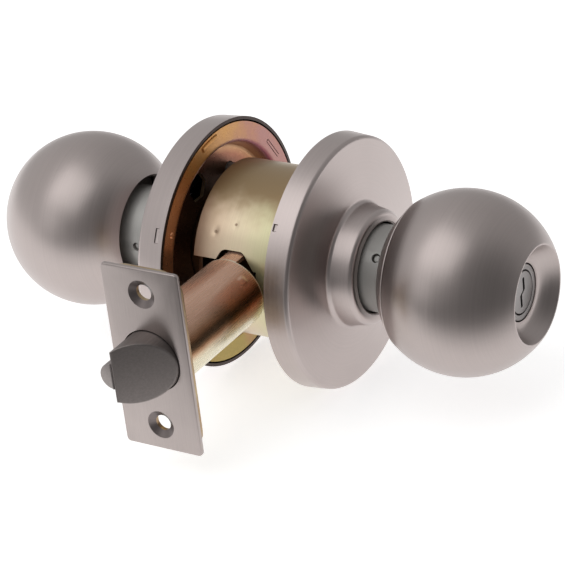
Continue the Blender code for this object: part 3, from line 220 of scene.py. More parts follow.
def new_mesh(name, points, faces):
    """Closed mesh in metres from points in millimetres, with doubles merged and faces outwards."""
    mesh = bpy.data.meshes.new(name)
    mesh.from_pydata((points.reshape(-1, 3) * MM).tolist(), [], faces)
    bm = bmesh.new()
    bm.from_mesh(mesh)
    bmesh.ops.remove_doubles(bm, verts=bm.verts, dist=1e-7)
    bmesh.ops.dissolve_degenerate(bm, edges=bm.edges, dist=1e-8)
    bmesh.ops.recalc_face_normals(bm, faces=bm.faces)
    bm.to_mesh(mesh)
    bm.free()
    return linked(name, mesh)


def grid_faces(rows, columns, wrap_rows):
    """Quads between neighbouring rows of points; the columns always close, the rows where asked."""
    index = np.arange(rows * columns).reshape(rows, columns)
    beside = np.roll(index, -1, axis=1)
    last = rows if wrap_rows else rows - 1
    above = np.roll(index, -1, axis=0)[:last]
    beyond = np.roll(beside, -1, axis=0)[:last]
    return np.stack([index[:last], beside[:last], beyond, above], axis=2).reshape(-1, 4).tolist()


def capped_faces(rows, columns):
    """Quads between neighbouring rows of points, and one flat face at each end."""
    ends = [list(range(columns)), list(range((rows - 1) * columns, rows * columns))]
    return grid_faces(rows, columns, False) + ends


def lathe(name, section, axis="Y", steps=ROUND_STEPS, centre=(0.0, 0.0), shape=None):
    """Closed section (radius, along) carried round an axis.

    Point (r, a) at angle t goes to (r cos t, a, r sin t) about Y and (a, r cos t, r sin t) about X.
    shape may change the finished array of points, one row per angle.
    """
    angle = np.linspace(0, 2 * np.pi, steps, endpoint=False)[:, None]
    radius, along = section[:, 0][None], section[:, 1][None]
    first = centre[0] + radius * np.cos(angle)
    second = centre[1] + radius * np.sin(angle)
    along = np.broadcast_to(along, first.shape)
    order = (first, along, second) if axis == "Y" else (along, first, second)
    points = np.stack(order, axis=2)
    if shape is not None:
        points = shape(points)
    return new_mesh(name, points, grid_faces(steps, len(section), True))


def loft(name, outlines, axis):
    """Outlines (a, b) at heights h, closed by a flat face at each end.

    Point (a, b) at height h goes to (h, a, b) along X and (a, h, b) along Y.
    """
    order = {"X": (2, 0, 1), "Y": (0, 2, 1)}[axis]
    spots = [np.column_stack([outline, np.broadcast_to(height, len(outline))])
             for outline, height in outlines]
    points = np.stack(spots)[:, :, order]
    return new_mesh(name, points, capped_faces(*points.shape[:2]))


def inset(outline, depth):
    """Closed outline moved inwards by depth, along the bisector at each point."""
    ahead = np.roll(outline, -1, axis=0) - np.roll(outline, 1, axis=0)
    ahead /= np.linalg.norm(ahead, axis=1)[:, None]
    inward = np.stack([-ahead[:, 1], ahead[:, 0]], axis=1)
    beyond = np.roll(outline, -1, axis=0)
    area = np.sum(outline[:, 0] * beyond[:, 1] - outline[:, 1] * beyond[:, 0])
    return outline + inward * depth * np.sign(area)


def slab(name, outline, axis, low, high, edge=0.2):
    """Plate or bar from low to high, with its rim broken by a quarter circle of radius edge."""
    turn = np.linspace(0, np.pi / 2, 4)
    ins = edge * (1 - np.sin(turn))
    heights = edge * (1 - np.cos(turn))
    lower = [(inset(outline, i), low + h) for i, h in zip(ins, heights)]
    upper = [(inset(outline, i), high - h) for i, h in zip(ins, heights)]
    return loft(name, lower + upper[::-1], axis)


def prism(name, outline, axis, low, high):
    """Plain cutting tool or block."""
    return loft(name, [(outline, low), (outline, high)], axis)


def combine(piece, tools, operation):
    """Boolean of the tools on the piece, kept as its mesh; the tools are removed."""
    for tool in tools:
        step = piece.modifiers.new(tool.name, "BOOLEAN")
        step.operation = operation
        step.solver = "EXACT"
        step.object = tool
    bpy.context.view_layer.update()
    shaped = piece.evaluated_get(bpy.context.evaluated_depsgraph_get())
    mesh = bpy.data.meshes.new_from_object(shaped)
    piece.modifiers.clear()
    piece.data = mesh
    for tool in tools:
        bpy.data.objects.remove(tool)
    return piece


def carve(piece, *tools):
    """Take the tools out of the piece."""
    return combine(piece, tools, "DIFFERENCE")


def weld(piece, *tools):
    """Add the tools to the piece."""
    return combine(piece, tools, "UNION")


def turn_out(tool, out, degrees, along=0.0):
    """Cutting tool moved out along X, turned about the knobs' axis and moved along it."""
    turn = Matrix.Rotation(-math.radians(degrees), 4, "Y")
    place = Matrix.Translation((0, along * MM, 0)) @ turn @ Matrix.Translation((out * MM, 0, 0))
    tool.data.transform(place)
    return tool


def finish(piece, material, body, node):
    """Shade a piece, give it its material, let it ride on its body and stand for its CAD node."""
    piece.data.shade_smooth()
    piece.data.set_sharp_from_angle(angle=math.radians(SHARP_ANGLE))
    piece.data.materials.clear()
    piece.data.materials.append(material)
    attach(piece, body)
    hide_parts(node)
    return piece


def second_finish(piece, material, chosen):
    """Give another material to the faces for which chosen(centres in mm, normals) is true."""
    mesh = piece.data
    centres, normals = np.empty(len(mesh.polygons) * 3), np.empty(len(mesh.polygons) * 3)
    mesh.polygons.foreach_get("center", centres)
    mesh.polygons.foreach_get("normal", normals)
    marks = chosen(centres.reshape(-1, 3) / MM, normals.reshape(-1, 3))
    mesh.materials.append(material)
    mesh.polygons.foreach_set("material_index", marks.astype(np.int32))


# Finishes

class Nodes:
    """Short calls for the nodes of one tree."""

    def __init__(self, tree):
        self.tree = tree

    def add(self, kind):
        """New node of a kind."""
        return self.tree.nodes.new("ShaderNode" + kind)

    def join(self, source, target):
        """Link, or plain value where the source is a number."""
        if isinstance(source, bpy.types.NodeSocket):
            self.tree.links.new(source, target)
        else:
            target.default_value = source

    def math(self, operation, *values):
        """Number from one to three numbers."""
        node = self.add("Math")
        node.operation = operation
        for value, target in zip(values, node.inputs):
            self.join(value, target)
        return node.outputs[0]

    def span(self, value, low, high, to_low=0.0, to_high=1.0):
        """Value mapped by a smooth step from one span to another, held at its ends."""
        node = self.add("MapRange")
        node.interpolation_type = "SMOOTHSTEP"
        for number, target in zip((value, low, high, to_low, to_high), node.inputs):
            self.join(number, target)
        return node.outputs[0]

    def along_way(self, coordinates, way, *spans):
        """Distance along a direction, mapped as span does."""
        dot = self.add("VectorMath")
        dot.operation = "DOT_PRODUCT"
        dot.inputs[1].default_value = tuple(way)
        self.join(self.add("TexCoord").outputs[coordinates], dot.inputs[0])
        return self.span(dot.outputs["Value"], *spans)

    def ray_share(self, *kinds):
        """1 for rays of the named kinds, else 0."""
        path = self.add("LightPath")
        share = path.outputs[f"Is {kinds[0]} Ray"]
        for kind in kinds[1:]:
            share = self.math("MAXIMUM", share, path.outputs[f"Is {kind} Ray"])
        return share


class Paint(Nodes):
    """Nodes of one finish: a Principled shader, and what shapes its colour, gloss and relief."""

    def __init__(self, name, colour, roughness, metallic=1.0):
        self.material = bpy.data.materials.new(name)
        self.material.use_nodes = True
        super().__init__(self.material.node_tree)
        self.shader = self.tree.nodes["Principled BSDF"]
        self.set("Base Color", (*colour, 1.0))
        self.set("Roughness", roughness)
        self.set("Metallic", metallic)
        self.place = self.add("TexCoord").outputs["Object"]
        split = self.add("SeparateXYZ")
        self.join(self.place, split.inputs[0])
        self.x, self.y, self.z = split.outputs

    def set(self, socket, value):
        """Value or link of a socket of the shader."""
        self.join(value, self.shader.inputs[socket])

    def vector(self, x, y, z):
        """Vector from three numbers."""
        node = self.add("CombineXYZ")
        for value, target in zip((x, y, z), node.inputs):
            self.join(value, target)
        return node.outputs[0]

    def noise(self, vector, size, detail=3.0, roughness=0.55):
        """Noise from 0 to 1 with features of a size in millimetres."""
        node = self.add("TexNoise")
        self.join(vector, node.inputs["Vector"])
        node.inputs["Scale"].default_value = 1 / (size * MM)
        node.inputs["Detail"].default_value = detail
        node.inputs["Roughness"].default_value = roughness
        return node.outputs[0]

    def cloud(self, size):
        """Cloudy number from -0.5 to 0.5."""
        return self.math("SUBTRACT", self.noise(self.place, size), 0.5)

    def mixed(self, first, share, second):
        """Share of one number plus the rest of another."""
        rest = 1 - share
        return self.math("ADD", self.math("MULTIPLY", first, share), self.math("MULTIPLY", second, rest))

    def close_to(self, point, inner, outer):
        """1 within the inner distance of a point, falling to 0 at the outer one."""
        away = self.add("VectorMath")
        away.operation = "DISTANCE"
        self.join(self.place, away.inputs[0])
        away.inputs[1].default_value = point
        return self.span(away.outputs["Value"], inner, outer, 1.0, 0.0)

    def ramp(self, value, *stops):
        """Colours along a value: (position, colour) for each stop."""
        node = self.add("ValToRGB")
        node.color_ramp.interpolation = "B_SPLINE" if len(stops) > 2 else "LINEAR"
        elements = node.color_ramp.elements
        while len(elements) < len(stops):
            elements.new(0.5)
        for element, (position, colour) in zip(elements, stops):
            element.position = position
            element.color = (*colour, 1.0)
        self.join(value, node.inputs[0])
        return node.outputs[0]

    def blend(self, share, first, second):
        """Colour between two by a share from 0 to 1."""
        node = self.add("Mix")
        node.data_type = "RGBA"
        sockets = [node.inputs[0], *(socket for socket in node.inputs if socket.type == "RGBA")]
        for value, target in zip((share, first, second), sockets):
            self.join((*value, 1.0) if isinstance(value, tuple) else value, target)
        return [socket for socket in node.outputs if socket.type == "RGBA"][0]

    def shades(self, value, colour, darker, lighter):
        """Base colour from a darker to a lighter shade of a colour, as a value goes from 0.3 to 0.7."""
        low = tuple(darker * part for part in colour)
        high = tuple(min(1.0, lighter * part) for part in colour)
        self.set("Base Color", self.blend(self.span(value, 0.3, 0.7), low, high))

    def bump(self, height, depth, strength):
        """Relief of a depth in millimetres on the shader's normal."""
        node = self.add("Bump")
        node.inputs["Strength"].default_value = strength
        node.inputs["Distance"].default_value = depth * MM
        self.join(height, node.inputs["Height"])
        self.set("Normal", node.outputs[0])

    def around(self, axis):
        """Distance from an axis and place along it, as metres."""
        beside, along = (self.x, self.y) if axis == "Y" else (self.y, self.x)
        squares = [self.math("MULTIPLY", number, number) for number in (beside, self.z)]
        return self.math("SQRT", self.math("ADD", *squares)), along

    def rings(self, axis, size):
        """Noise that runs in rings round an axis, as a lathe or a circular brush leaves it."""
        radius, along = self.around(axis)
        return self.noise(self.vector(radius, along, 0.0), size, 4.0)

    def turn_brush(self, axis, amount):
        """Highlights that spread across the brushing, which runs round an axis."""
        tangent = self.add("Tangent")
        tangent.direction_type = "RADIAL"
        tangent.axis = axis
        self.set("Anisotropic", amount)
        self.join(tangent.outputs[0], self.shader.inputs["Tangent"])


def brushed_steel(name, axis, colour, roughness=0.36, ring=0.4, brush=0.45, metallic=1.0):
    """Satin stainless, brushed in rings: fine rings in colour, gloss and relief, with broad cloudy tone."""
    paint = Paint(name, colour, roughness, metallic)
    rings = paint.rings(axis, ring)
    paint.shades(paint.mixed(rings, 0.7, paint.noise(paint.place, 14.0)), colour, 0.95, 1.04)
    paint.set("Roughness", paint.span(rings, 0.25, 0.75, roughness - 0.03, roughness + 0.04))
    paint.bump(rings, 0.015, 0.25)
    paint.turn_brush(axis, brush)
    return paint.material


def straight_brushed_steel(name, colour, roughness=0.34):
    """Satin stainless brushed up and down the faceplate."""
    paint = Paint(name, colour, roughness)
    strokes = paint.vector(paint.x, paint.y, paint.math("MULTIPLY", paint.z, 0.03))
    lines = paint.noise(strokes, 0.35, 4.0)
    paint.shades(paint.mixed(lines, 0.6, paint.noise(paint.place, 12.0)), colour, 0.93, 1.06)
    paint.set("Roughness", paint.span(lines, 0.25, 0.75, roughness - 0.04, roughness + 0.05))
    paint.bump(lines, 0.015, 0.2)
    return paint.material


def turned_steel(name, axis, colour, roughness=0.32, metallic=0.8):
    """Pale plated steel with the fine rings of the lathe."""
    return brushed_steel(name, axis, colour, roughness, 0.25, 0.3, metallic)


def cast_steel(name, colour, roughness=0.48):
    """Dark sintered steel with a fine grain and faint streaks along its length."""
    paint = Paint(name, colour, roughness)
    grain = paint.noise(paint.place, 0.25, 5.0, 0.7)
    streaks = paint.noise(paint.vector(paint.math("MULTIPLY", paint.x, 0.08), paint.y, paint.z), 0.5)
    paint.shades(paint.mixed(grain, 0.4, streaks), colour, 0.90, 1.08)
    paint.set("Roughness", paint.span(grain, 0.3, 0.7, roughness - 0.03, roughness + 0.06))
    paint.bump(grain, 0.015, 0.2)
    return paint.material


def passivated_drum(name):
    """Cream zinc plate of the drum: greenish at its outer end, pinkish at its inner end, with painted shade
    that turns it brown on top and dark in its dimples.
    """
    paint = Paint(name, (0.60, 0.50, 0.36), 0.36, 0.78)
    drift = paint.math("MULTIPLY", paint.cloud(12.0), 14 * MM)
    across = paint.math("ADD", paint.y, drift)
    tint = paint.ramp(paint.span(across, -16 * MM, 16 * MM),
                      (0.05, (0.60, 0.58, 0.36)), (0.30, (0.70, 0.64, 0.42)),
                      (0.60, (0.74, 0.61, 0.45)), (0.95, (0.66, 0.50, 0.36)))
    # Painted shade: the top of the drum turns brown.
    height = paint.math("ADD", paint.z, drift)
    upper = paint.span(height, 17 * MM, 25 * MM)
    tint = paint.blend(upper, tint, (0.34, 0.24, 0.13))
    # Painted shade: each pressed dimple turns dark.
    for degrees, along, _, size in DRUM_DIMPLES:
        x, z = on_circle(DRUM_RADIUS * MM, degrees)
        dimple = paint.close_to((x, along * MM, z), 0.5 * size * MM, size * MM)
        tint = paint.blend(dimple, tint, (0.30, 0.22, 0.15))
    rings = paint.rings("Y", 0.4)
    shade = paint.span(rings, 0.3, 0.7, 0.0, 0.10)
    paint.set("Base Color", paint.blend(shade, tint, (0.36, 0.26, 0.17)))
    paint.set("Roughness", paint.span(rings, 0.3, 0.7, 0.33, 0.40))
    paint.bump(rings, 0.015, 0.2)
    return paint.material


def passivated_plate(name):
    """Iridescent zinc plate of the mounting plates: gold, rose and olive flange, and painted shade that
    darkens the recess.
    """
    paint = Paint(name, (0.60, 0.44, 0.20), 0.30, 0.8)
    radius, _ = paint.around("Y")
    shift = paint.cloud(9.0)
    turn = paint.math("ARCTAN2", paint.z, paint.x)
    drift = paint.math("ADD", turn, paint.math("MULTIPLY", shift, 1.4))
    flange = paint.ramp(paint.math("ADD", paint.math("MULTIPLY", drift, 0.5 / math.pi), 0.5),
                        (0.02, (0.44, 0.24, 0.09)), (0.24, (0.40, 0.37, 0.10)), (0.34, (0.48, 0.21, 0.13)),
                        (0.58, (0.36, 0.20, 0.20)), (0.66, (0.42, 0.18, 0.13)), (0.76, (0.52, 0.30, 0.08)),
                        (0.84, (0.70, 0.27, 0.09)), (0.93, (0.72, 0.34, 0.17)))
    # Painted shade: the recess darkens to near black towards its middle.
    reach = paint.math("ADD", radius, paint.math("MULTIPLY", shift, 4 * MM))
    depth = paint.ramp(paint.span(reach, 13 * MM, 31 * MM),
                       (0.0, (0.10, 0.06, 0.035)), (0.60, (0.14, 0.07, 0.04)), (0.85, (0.36, 0.12, 0.07)),
                       (0.95, (0.54, 0.30, 0.15)))
    inner = paint.span(radius, 29.6 * MM, 30.6 * MM)
    bead = paint.math("MULTIPLY", inner, paint.span(radius, 30.6 * MM, 31.6 * MM, 1.0, 0.0))
    paint.set("Base Color", paint.blend(bead, paint.blend(inner, depth, flange), (0.26, 0.07, 0.09)))
    fine = paint.noise(paint.place, 0.6)
    paint.set("Roughness", paint.span(fine, 0.3, 0.7, 0.27, 0.36))
    return paint.material


def passivated_zinc(name, colour, drift):
    """Zinc plate, brass or wire of small pieces, which drifts in cloudy patches towards a second tint."""
    paint = Paint(name, colour, 0.34, 0.9)
    cloud = paint.noise(paint.place, 7.0)
    paint.set("Base Color", paint.blend(paint.span(cloud, 0.35, 0.65), colour, drift))
    fine = paint.noise(paint.place, 0.5)
    paint.set("Roughness", paint.span(fine, 0.3, 0.7, 0.30, 0.40))
    return paint.material


def bronzed_tube(name):
    """Bronzed plate of the latch tube, with painted reflection in bands by height: cream below, a dark band
    over the middle, rosy brown on top.

    The cut rim of its far end has a pale painted highlight.
    """
    paint = Paint(name, (0.42, 0.26, 0.18), 0.27, 0.65)
    # Painted reflection: bands of colour by height round the tube.
    height = paint.math("ADD", paint.z, paint.math("MULTIPLY", paint.cloud(18.0), 3 * MM))
    tint = paint.ramp(paint.span(height, -10.7 * MM, 10.7 * MM),
                      (0.36, (0.92, 0.86, 0.64)), (0.47, (0.86, 0.70, 0.48)), (0.55, (0.58, 0.31, 0.16)),
                      (0.61, (0.30, 0.15, 0.06)), (0.67, (0.08, 0.05, 0.02)), (0.75, (0.09, 0.05, 0.02)),
                      (0.81, (0.30, 0.14, 0.06)), (0.88, (0.46, 0.26, 0.15)), (0.95, (0.69, 0.43, 0.31)))
    fine = paint.noise(paint.vector(paint.math("MULTIPLY", paint.x, 0.1), paint.y, paint.z), 0.5)
    tint = paint.blend(paint.span(fine, 0.3, 0.7, 0.0, 0.12), tint, (0.30, 0.16, 0.10))
    # Painted highlight: the cut rim of the far end is pale.
    before = paint.span(paint.x, (TUBE_END - 0.5) * MM, (TUBE_END - 0.1) * MM)
    behind = paint.span(paint.x, (TUBE_END + 0.1) * MM, (TUBE_END + 0.3) * MM, 1.0, 0.0)
    rim = paint.math("MULTIPLY", before, behind)
    paint.set("Base Color", paint.blend(rim, tint, (0.80, 0.74, 0.62)))
    paint.set("Roughness", paint.span(fine, 0.3, 0.7, 0.24, 0.33))
    return paint.material


knob_steel = brushed_steel("knob_brushed_steel", "Y", (0.44, 0.385, 0.37))
rose_steel = brushed_steel("rose_brushed_steel", "Y", (0.47, 0.41, 0.395), 0.33, 0.40, 0.60)
# Near-black copy of the rose steel: painted shade on a rose's inner faces, which look at the door or at the
# axis.
rose_painted_shade = brushed_steel("rose_inner_painted_shade", "Y", (0.09, 0.07, 0.065), 0.5)
plate_steel = straight_brushed_steel("faceplate_brushed_steel", (0.40, 0.35, 0.335))
# Dark copy of the turned steel: painted shade on the sloping faces of the faceplate's countersinks.
painted_shade_sink = turned_steel("countersink_turned_steel_painted_shade", "X", (0.20, 0.17, 0.165), 0.34)
pale_turned = turned_steel("pale_turned_steel", "Y", (0.46, 0.45, 0.43), 0.50, 0.5)
# Paler copy of the knob steel: painted light on the back cover, which faces away from the lamps.
back_painted_light_steel = brushed_steel("back_cover_painted_light_steel", "Y", (0.62, 0.55, 0.53), 0.42)
# Near-black copy of the bronzed zinc: painted shade on the inside hub and the retractor in the drum.
painted_shade_zinc = passivated_zinc("bronzed_zinc_painted_shade", (0.15, 0.09, 0.05), (0.11, 0.07, 0.045))
# Pale copy of the plate's zinc: painted highlight on the punched walls of the hexagon hole.
painted_highlight_zinc = passivated_zinc("punched_edge_painted_highlight", (0.80, 0.66, 0.46), (0.74, 0.58, 0.40))
cylinder_steel = turned_steel("cylinder_turned_steel", "Y", (0.28, 0.26, 0.255), 0.36)
dark_cast = cast_steel("bolt_sintered_steel", (0.27, 0.24, 0.23))
plunger_cast = cast_steel("plunger_sintered_steel", (0.30, 0.27, 0.26), 0.40)
drum_zinc_painted_shade = passivated_drum("drum_cream_zinc_painted_shade")
plate_zinc_painted_shade = passivated_plate("plate_iridescent_zinc_painted_shade")
small_zinc = passivated_zinc("small_yellow_zinc", (0.60, 0.50, 0.26), (0.52, 0.44, 0.30))
backing_zinc = passivated_zinc("backing_bronzed_zinc", (0.46, 0.36, 0.22), (0.38, 0.26, 0.15))
tube_zinc_painted_reflection = bronzed_tube("tube_bronzed_zinc_painted_reflection")
brass = passivated_zinc("drawn_brass", (0.62, 0.46, 0.20), (0.54, 0.38, 0.15))
spring_steel = passivated_zinc("spring_wire", (0.50, 0.49, 0.47), (0.40, 0.39, 0.38))


# Knobs

def on_side(side, section, start=0.0):
    """Section measured outwards from the middle of the door, or from start, placed on its side."""
    section = np.asarray(section, float)
    return np.column_stack([section[:, 0], OUTWARD[side] * (section[:, 1] + start)])


def bare(points):
    """Points as corners with no radius."""
    return np.column_stack([points, np.zeros(len(points))])


def knob_ball(side, back_radius):
    """Hollow ball, open behind.

    Its outer and inner arcs are (R sin t, R cos t). The face turns in at a rolled rim to a dish whose
    height grows with the square of the distance from its lip.
    """
    lip = CYLINDER_RADIUS + FIT
    back = math.pi - math.asin(back_radius / BALL_RADIUS)
    near_rim = math.asin((DISH_RADIUS + DISH_RIM) / BALL_RADIUS)
    angle = np.linspace(back, near_rim, 96)
    outer = BALL_RADIUS * np.column_stack([np.sin(angle), np.cos(angle)])
    radius = np.linspace(DISH_RADIUS - DISH_RIM, lip, 28)
    rise = DISH_DEPTH * ((radius - lip) / (DISH_RADIUS - lip)) ** 2
    dish = np.column_stack([radius, FACE_OFFSET + rise])
    bore = BALL_RADIUS - BALL_WALL
    inner_angle = np.linspace(math.asin(DISH_RADIUS / bore), back, 60)
    inner = bore * np.column_stack([np.sin(inner_angle), np.cos(inner_angle)])
    under = dish[::-1] - (0.0, BALL_WALL)
    rim = [(DISH_RADIUS, RIM_OFFSET, 0.7)]
    front = opened(np.vstack([bare(outer), rim, bare(dish)]), 8)
    section = np.vstack([front, under, inner])
    return lathe(f"{side}_knob_ball", on_side(side, section, DOOR_HALF + REACH[side]))


def outside_back_cover():
    """Ring behind the outside ball: a flat cone from the ball's seam in to its lip round the neck."""
    seat = -math.sqrt(BALL_RADIUS ** 2 - BACK_RING_RADIUS ** 2) - FIT
    back = -math.sqrt(BALL_RADIUS ** 2 - BACK_OPENING ** 2) + BACK_RING_RISE
    lip = BACK_OPENING + BALL_WALL
    section = rounded([
        (BACK_RING_RADIUS, seat, 0.25), (BACK_RING_RADIUS - 1.5 * BALL_WALL, seat, 0.2),
        (lip, back + BALL_WALL, 0.2), (lip, back + 2 * BALL_WALL, 0.2),
        (BACK_OPENING, back + 2 * BALL_WALL, 0.2), (BACK_OPENING, back, 0.5),
    ])
    return lathe("outside_knob_back_cover", on_side("outside", section, DOOR_HALF + REACH["outside"]))


def knob_neck(side):
    """Neck sleeve with its flange inside the ball, and the hole that the catch sits in."""
    start = DOOR_HALF + HUB_REACH + 2 * FIT
    flange = DOOR_HALF + REACH[side] - NECK_FLANGE_OFFSET
    seat = NECK_FLANGE_OFFSET + NECK_FLANGE_WALL
    flange_radius = math.sqrt((BALL_RADIUS - BALL_WALL) ** 2 - seat ** 2) - FIT
    bore = NECK_RADIUS - NECK_WALL
    section = rounded([
        (bore, start, 0.2), (NECK_RADIUS, start, 0.4), (NECK_RADIUS, flange - NECK_FLANGE_WALL, 0.8),
        (flange_radius, flange - NECK_FLANGE_WALL, 0.2), (flange_radius, flange, 0.2), (bore, flange, 0.2),
    ])
    sleeve = lathe(f"{side}_knob_neck", on_side(side, section), steps=NECK_STEPS)
    return carve(sleeve, catch_tool(side))


def catch_tool(side):
    """Round cutting tool that points away from the knobs' axis where the catch sits."""
    tool = prism("hole", circle(CATCH_HOLE_RADIUS), "X", 6.0, 30.0)
    return turn_out(tool, 0.0, CATCH_ANGLE[side], OUTWARD[side] * CATCH_ALONG[side])


def key_cylinder_housing():
    """Round lock cylinder with its shoulder behind the dish and the pin housing under it."""
    face, shoulder = FACE["outside"], SHOULDER["outside"]
    rear = face - CYLINDER_LENGTH
    bore = PLUG_RADIUS + FIT
    wide, step = CYLINDER_RADIUS + CYLINDER_SHOULDER, shoulder - SHOULDER_LENGTH
    section = rounded([
        (bore, rear, 0.2), (CYLINDER_RADIUS, rear, 0.3), (CYLINDER_RADIUS, step, 0.1), (wide, step, 0.2),
        (wide, shoulder, 0.2), (CYLINDER_RADIUS, shoulder, 0.1), (CYLINDER_RADIUS, face, 0.35),
        (bore, face, 0.25),
    ])
    body = lathe("key_cylinder_housing", on_side("outside", section), steps=NECK_STEPS)
    low, high = bore + 0.8, PIN_HOUSING_REACH
    outline = bar(PIN_HOUSING_WIDTH, high - low, 1.2, (0.0, -(low + high) / 2))
    near = -(DOOR_HALF + REACH["outside"] + 2 * NECK_FLANGE_WALL)
    return weld(body, prism("pins", outline, "Y", -(shoulder - 4.0), near))


def key_plug():
    """Turning plug with the zig-zag keyway in its face."""
    face = FACE["outside"]
    rear = face - CYLINDER_LENGTH
    section = rounded([(0, rear, 0), (PLUG_RADIUS, rear, 0.3), (PLUG_RADIUS, face, 0.3), (0, face, 0)])
    plug = lathe("lock_plug", on_side("outside", section), steps=NECK_STEPS)
    half, jog = KEYWAY_WIDTH / 2, KEYWAY_WIDTH * 0.9
    top, bottom, step = KEYWAY_HEIGHT / 2, -KEYWAY_HEIGHT / 2, KEYWAY_WIDTH * 0.5
    outline = np.array([
        (-half - jog, top), (half - jog, top), (half - jog, step), (half + jog, step - jog),
        (half + jog, bottom), (-half + jog, bottom), (-half + jog, -step), (-half - jog, jog - step),
    ]) * (-1.0, 1.0)
    return carve(plug, prism("keyway", outline, "Y", -face - 2.0, -face + KEYWAY_DEPTH))


def locking_button():
    """Turn button: a round base in the inside knob's dish with a rounded grip across it."""
    stem, rear = BUTTON_STEM_RADIUS, SHOULDER["inside"] - COLLAR_LENGTH
    base = FACE["inside"] + FIT
    top = base + BUTTON_BASE
    section = rounded([
        (0, rear, 0), (stem, rear, 0.2), (stem, base, 0), (CYLINDER_RADIUS - 0.4, base, 0.3),
        (CYLINDER_RADIUS - 1.2, top, 0.8), (0, top, 0),
    ])
    button = lathe("inside_turn_button", section, steps=BUTTON_STEPS)
    width, length, height = BUTTON_GRIP
    return weld(button, slab("grip", bar(width, length, 1.5), "Y", base + 0.8, base + height, 0.9))


def button_collar():
    """Fixed collar that the turn button sits in."""
    face, shoulder = FACE["inside"], SHOULDER["inside"]
    hole, wide = BUTTON_STEM_RADIUS + FIT, CYLINDER_RADIUS + CYLINDER_SHOULDER
    rear = shoulder - COLLAR_LENGTH
    section = rounded([
        (hole, rear, 0.2), (wide, rear, 0.3), (wide, shoulder, 0.2),
        (CYLINDER_RADIUS, shoulder, 0.1), (CYLINDER_RADIUS, face, 0.3), (hole, face, 0.2),
    ])
    return lathe("inside_button_collar", section, steps=BUTTON_STEPS)


def knob_spindle(side):
    """Tube from the knob into the drum, cut to two tabs that push the retractor."""
    tip = TAB_TIP[side]
    end = DOOR_HALF + REACH[side] - NECK_FLANGE_OFFSET - NECK_FLANGE_WALL - 4.0
    bore = SPINDLE_RADIUS - SPINDLE_WALL
    section = rounded([(bore, tip, 0.2), (SPINDLE_RADIUS, tip, 0.2), (SPINDLE_RADIUS, end, 0.2),
                       (bore, end, 0.2)], 3)
    tube = lathe(f"{side}_knob_spindle", on_side(side, section), steps=BUTTON_STEPS)
    depth = SPINDLE_RADIUS - TAB_HALF_WIDTH
    near, far = sorted([OUTWARD[side] * (tip - 2.0), OUTWARD[side] * TAB_ROOT])
    beside = [bar(2 * depth, 3 * SPINDLE_RADIUS, 0.2, (way * (TAB_HALF_WIDTH + depth), 0.0))
              for way in (-1, 1)]
    return carve(tube, *[prism("tab", outline, "Y", near, far) for outline in beside], catch_tool(side))


# Roses, plates and drum

def rose_cover(side):
    """Stamped rose: rim with a shallow slot, crowned face, and a hub whose lip turns in round the neck."""
    crown = DOOR_HALF + RIM_DEPTH[side] + ROSE_CROWN
    top = crown + HUB_HEIGHT
    bore = NECK_RADIUS + NECK_GAP
    path = opened([
        (ROSE_RADIUS, DOOR_HALF, 0), (ROSE_FRONT_RADIUS, DOOR_HALF + RIM_DEPTH[side], 1.4),
        (HUB_BASE_RADIUS, crown, 1.6), (HUB_TOP_RADIUS, top, 2.4), (bore, top, 0.8),
        (bore, top - HUB_LIP_DEPTH, 0),
    ], 10)
    cover = lathe(f"{side}_rose_cover", on_side(side, sheet(path, ROSE_WALL)))
    degrees, along, length = RIM_SLOT[side]
    tool_width = 8.0
    slot = prism("slot", bar(tool_width, length, 0.3), "Y", -RIM_SLOT_HALF_WIDTH, RIM_SLOT_HALF_WIDTH)
    middle = ROSE_RADIUS - 0.55 * ROSE_WALL + tool_width / 2
    return carve(cover, turn_out(slot, middle, degrees, OUTWARD[side] * (DOOR_HALF + along)))


def inside_rose(side):
    """Test for the faces of a rose that look at the door or at the axis, which get painted shade."""
    def chosen(centres, normals):
        radius = np.hypot(centres[:, 0], centres[:, 2])
        radial = (centres[:, 0] * normals[:, 0] + centres[:, 2] * normals[:, 2]) / radius
        looks_back = normals[:, 1] * OUTWARD[side] < -0.3
        return (looks_back | (radial < -0.3)) & (radius > NECK_RADIUS + 2 * NECK_GAP)

    return chosen


def screw_tools(radius, low, high, steps=HOLE_STEPS):
    """Round tools at the two mounting screws."""
    return [prism("round", circle(radius, on_circle(SCREW_CIRCLE, angle), steps), "Y", low, high)
            for angle in SCREW_ANGLES]


def drum():
    """Drum closed at its outer end, with the arched latch opening in its side and two pressed dimples.

    A dimple moves each point towards the axis by its depth times exp(-(distance / size) ** 2).
    """
    path = opened([(BEARING_BORE, -DRUM_HALF, 0), (DRUM_RADIUS, -DRUM_HALF, 2.0),
                   (DRUM_RADIUS, DRUM_HALF, 0)], 8)

    def pressed(points):
        radius = np.hypot(points[..., 0], points[..., 2])
        angle = np.arctan2(points[..., 2], points[..., 0])
        for degrees, along, depth, size in DRUM_DIMPLES:
            away = angle - math.radians(degrees)
            away = np.angle(np.exp(1j * away)) * radius
            near = np.exp(-(away ** 2 + (points[..., 1] - along) ** 2) / size ** 2)
            near = depth * near * (radius > DRUM_RADIUS - 2 * DRUM_WALL)
            points = points - (points * (1.0, 0.0, 1.0)) * (near / radius)[..., None]
        return points

    dense = fill_straights(sheet(path, DRUM_WALL), 0.6)
    housing = lathe("drum_housing", dense, shape=pressed)
    lower = [(y, -z, radius) for y, z, radius in reversed(OPENING_EDGE)]
    opening = prism("opening", rounded(OPENING_EDGE + lower, 10), "X", -DRUM_RADIUS * 1.2, -DRUM_RADIUS * 0.6)
    holes = screw_tools(SCREW_RADIUS + 2 * FIT, -DRUM_HALF - 2.0, -DRUM_HALF + 4.0)
    return carve(housing, opening, *holes)


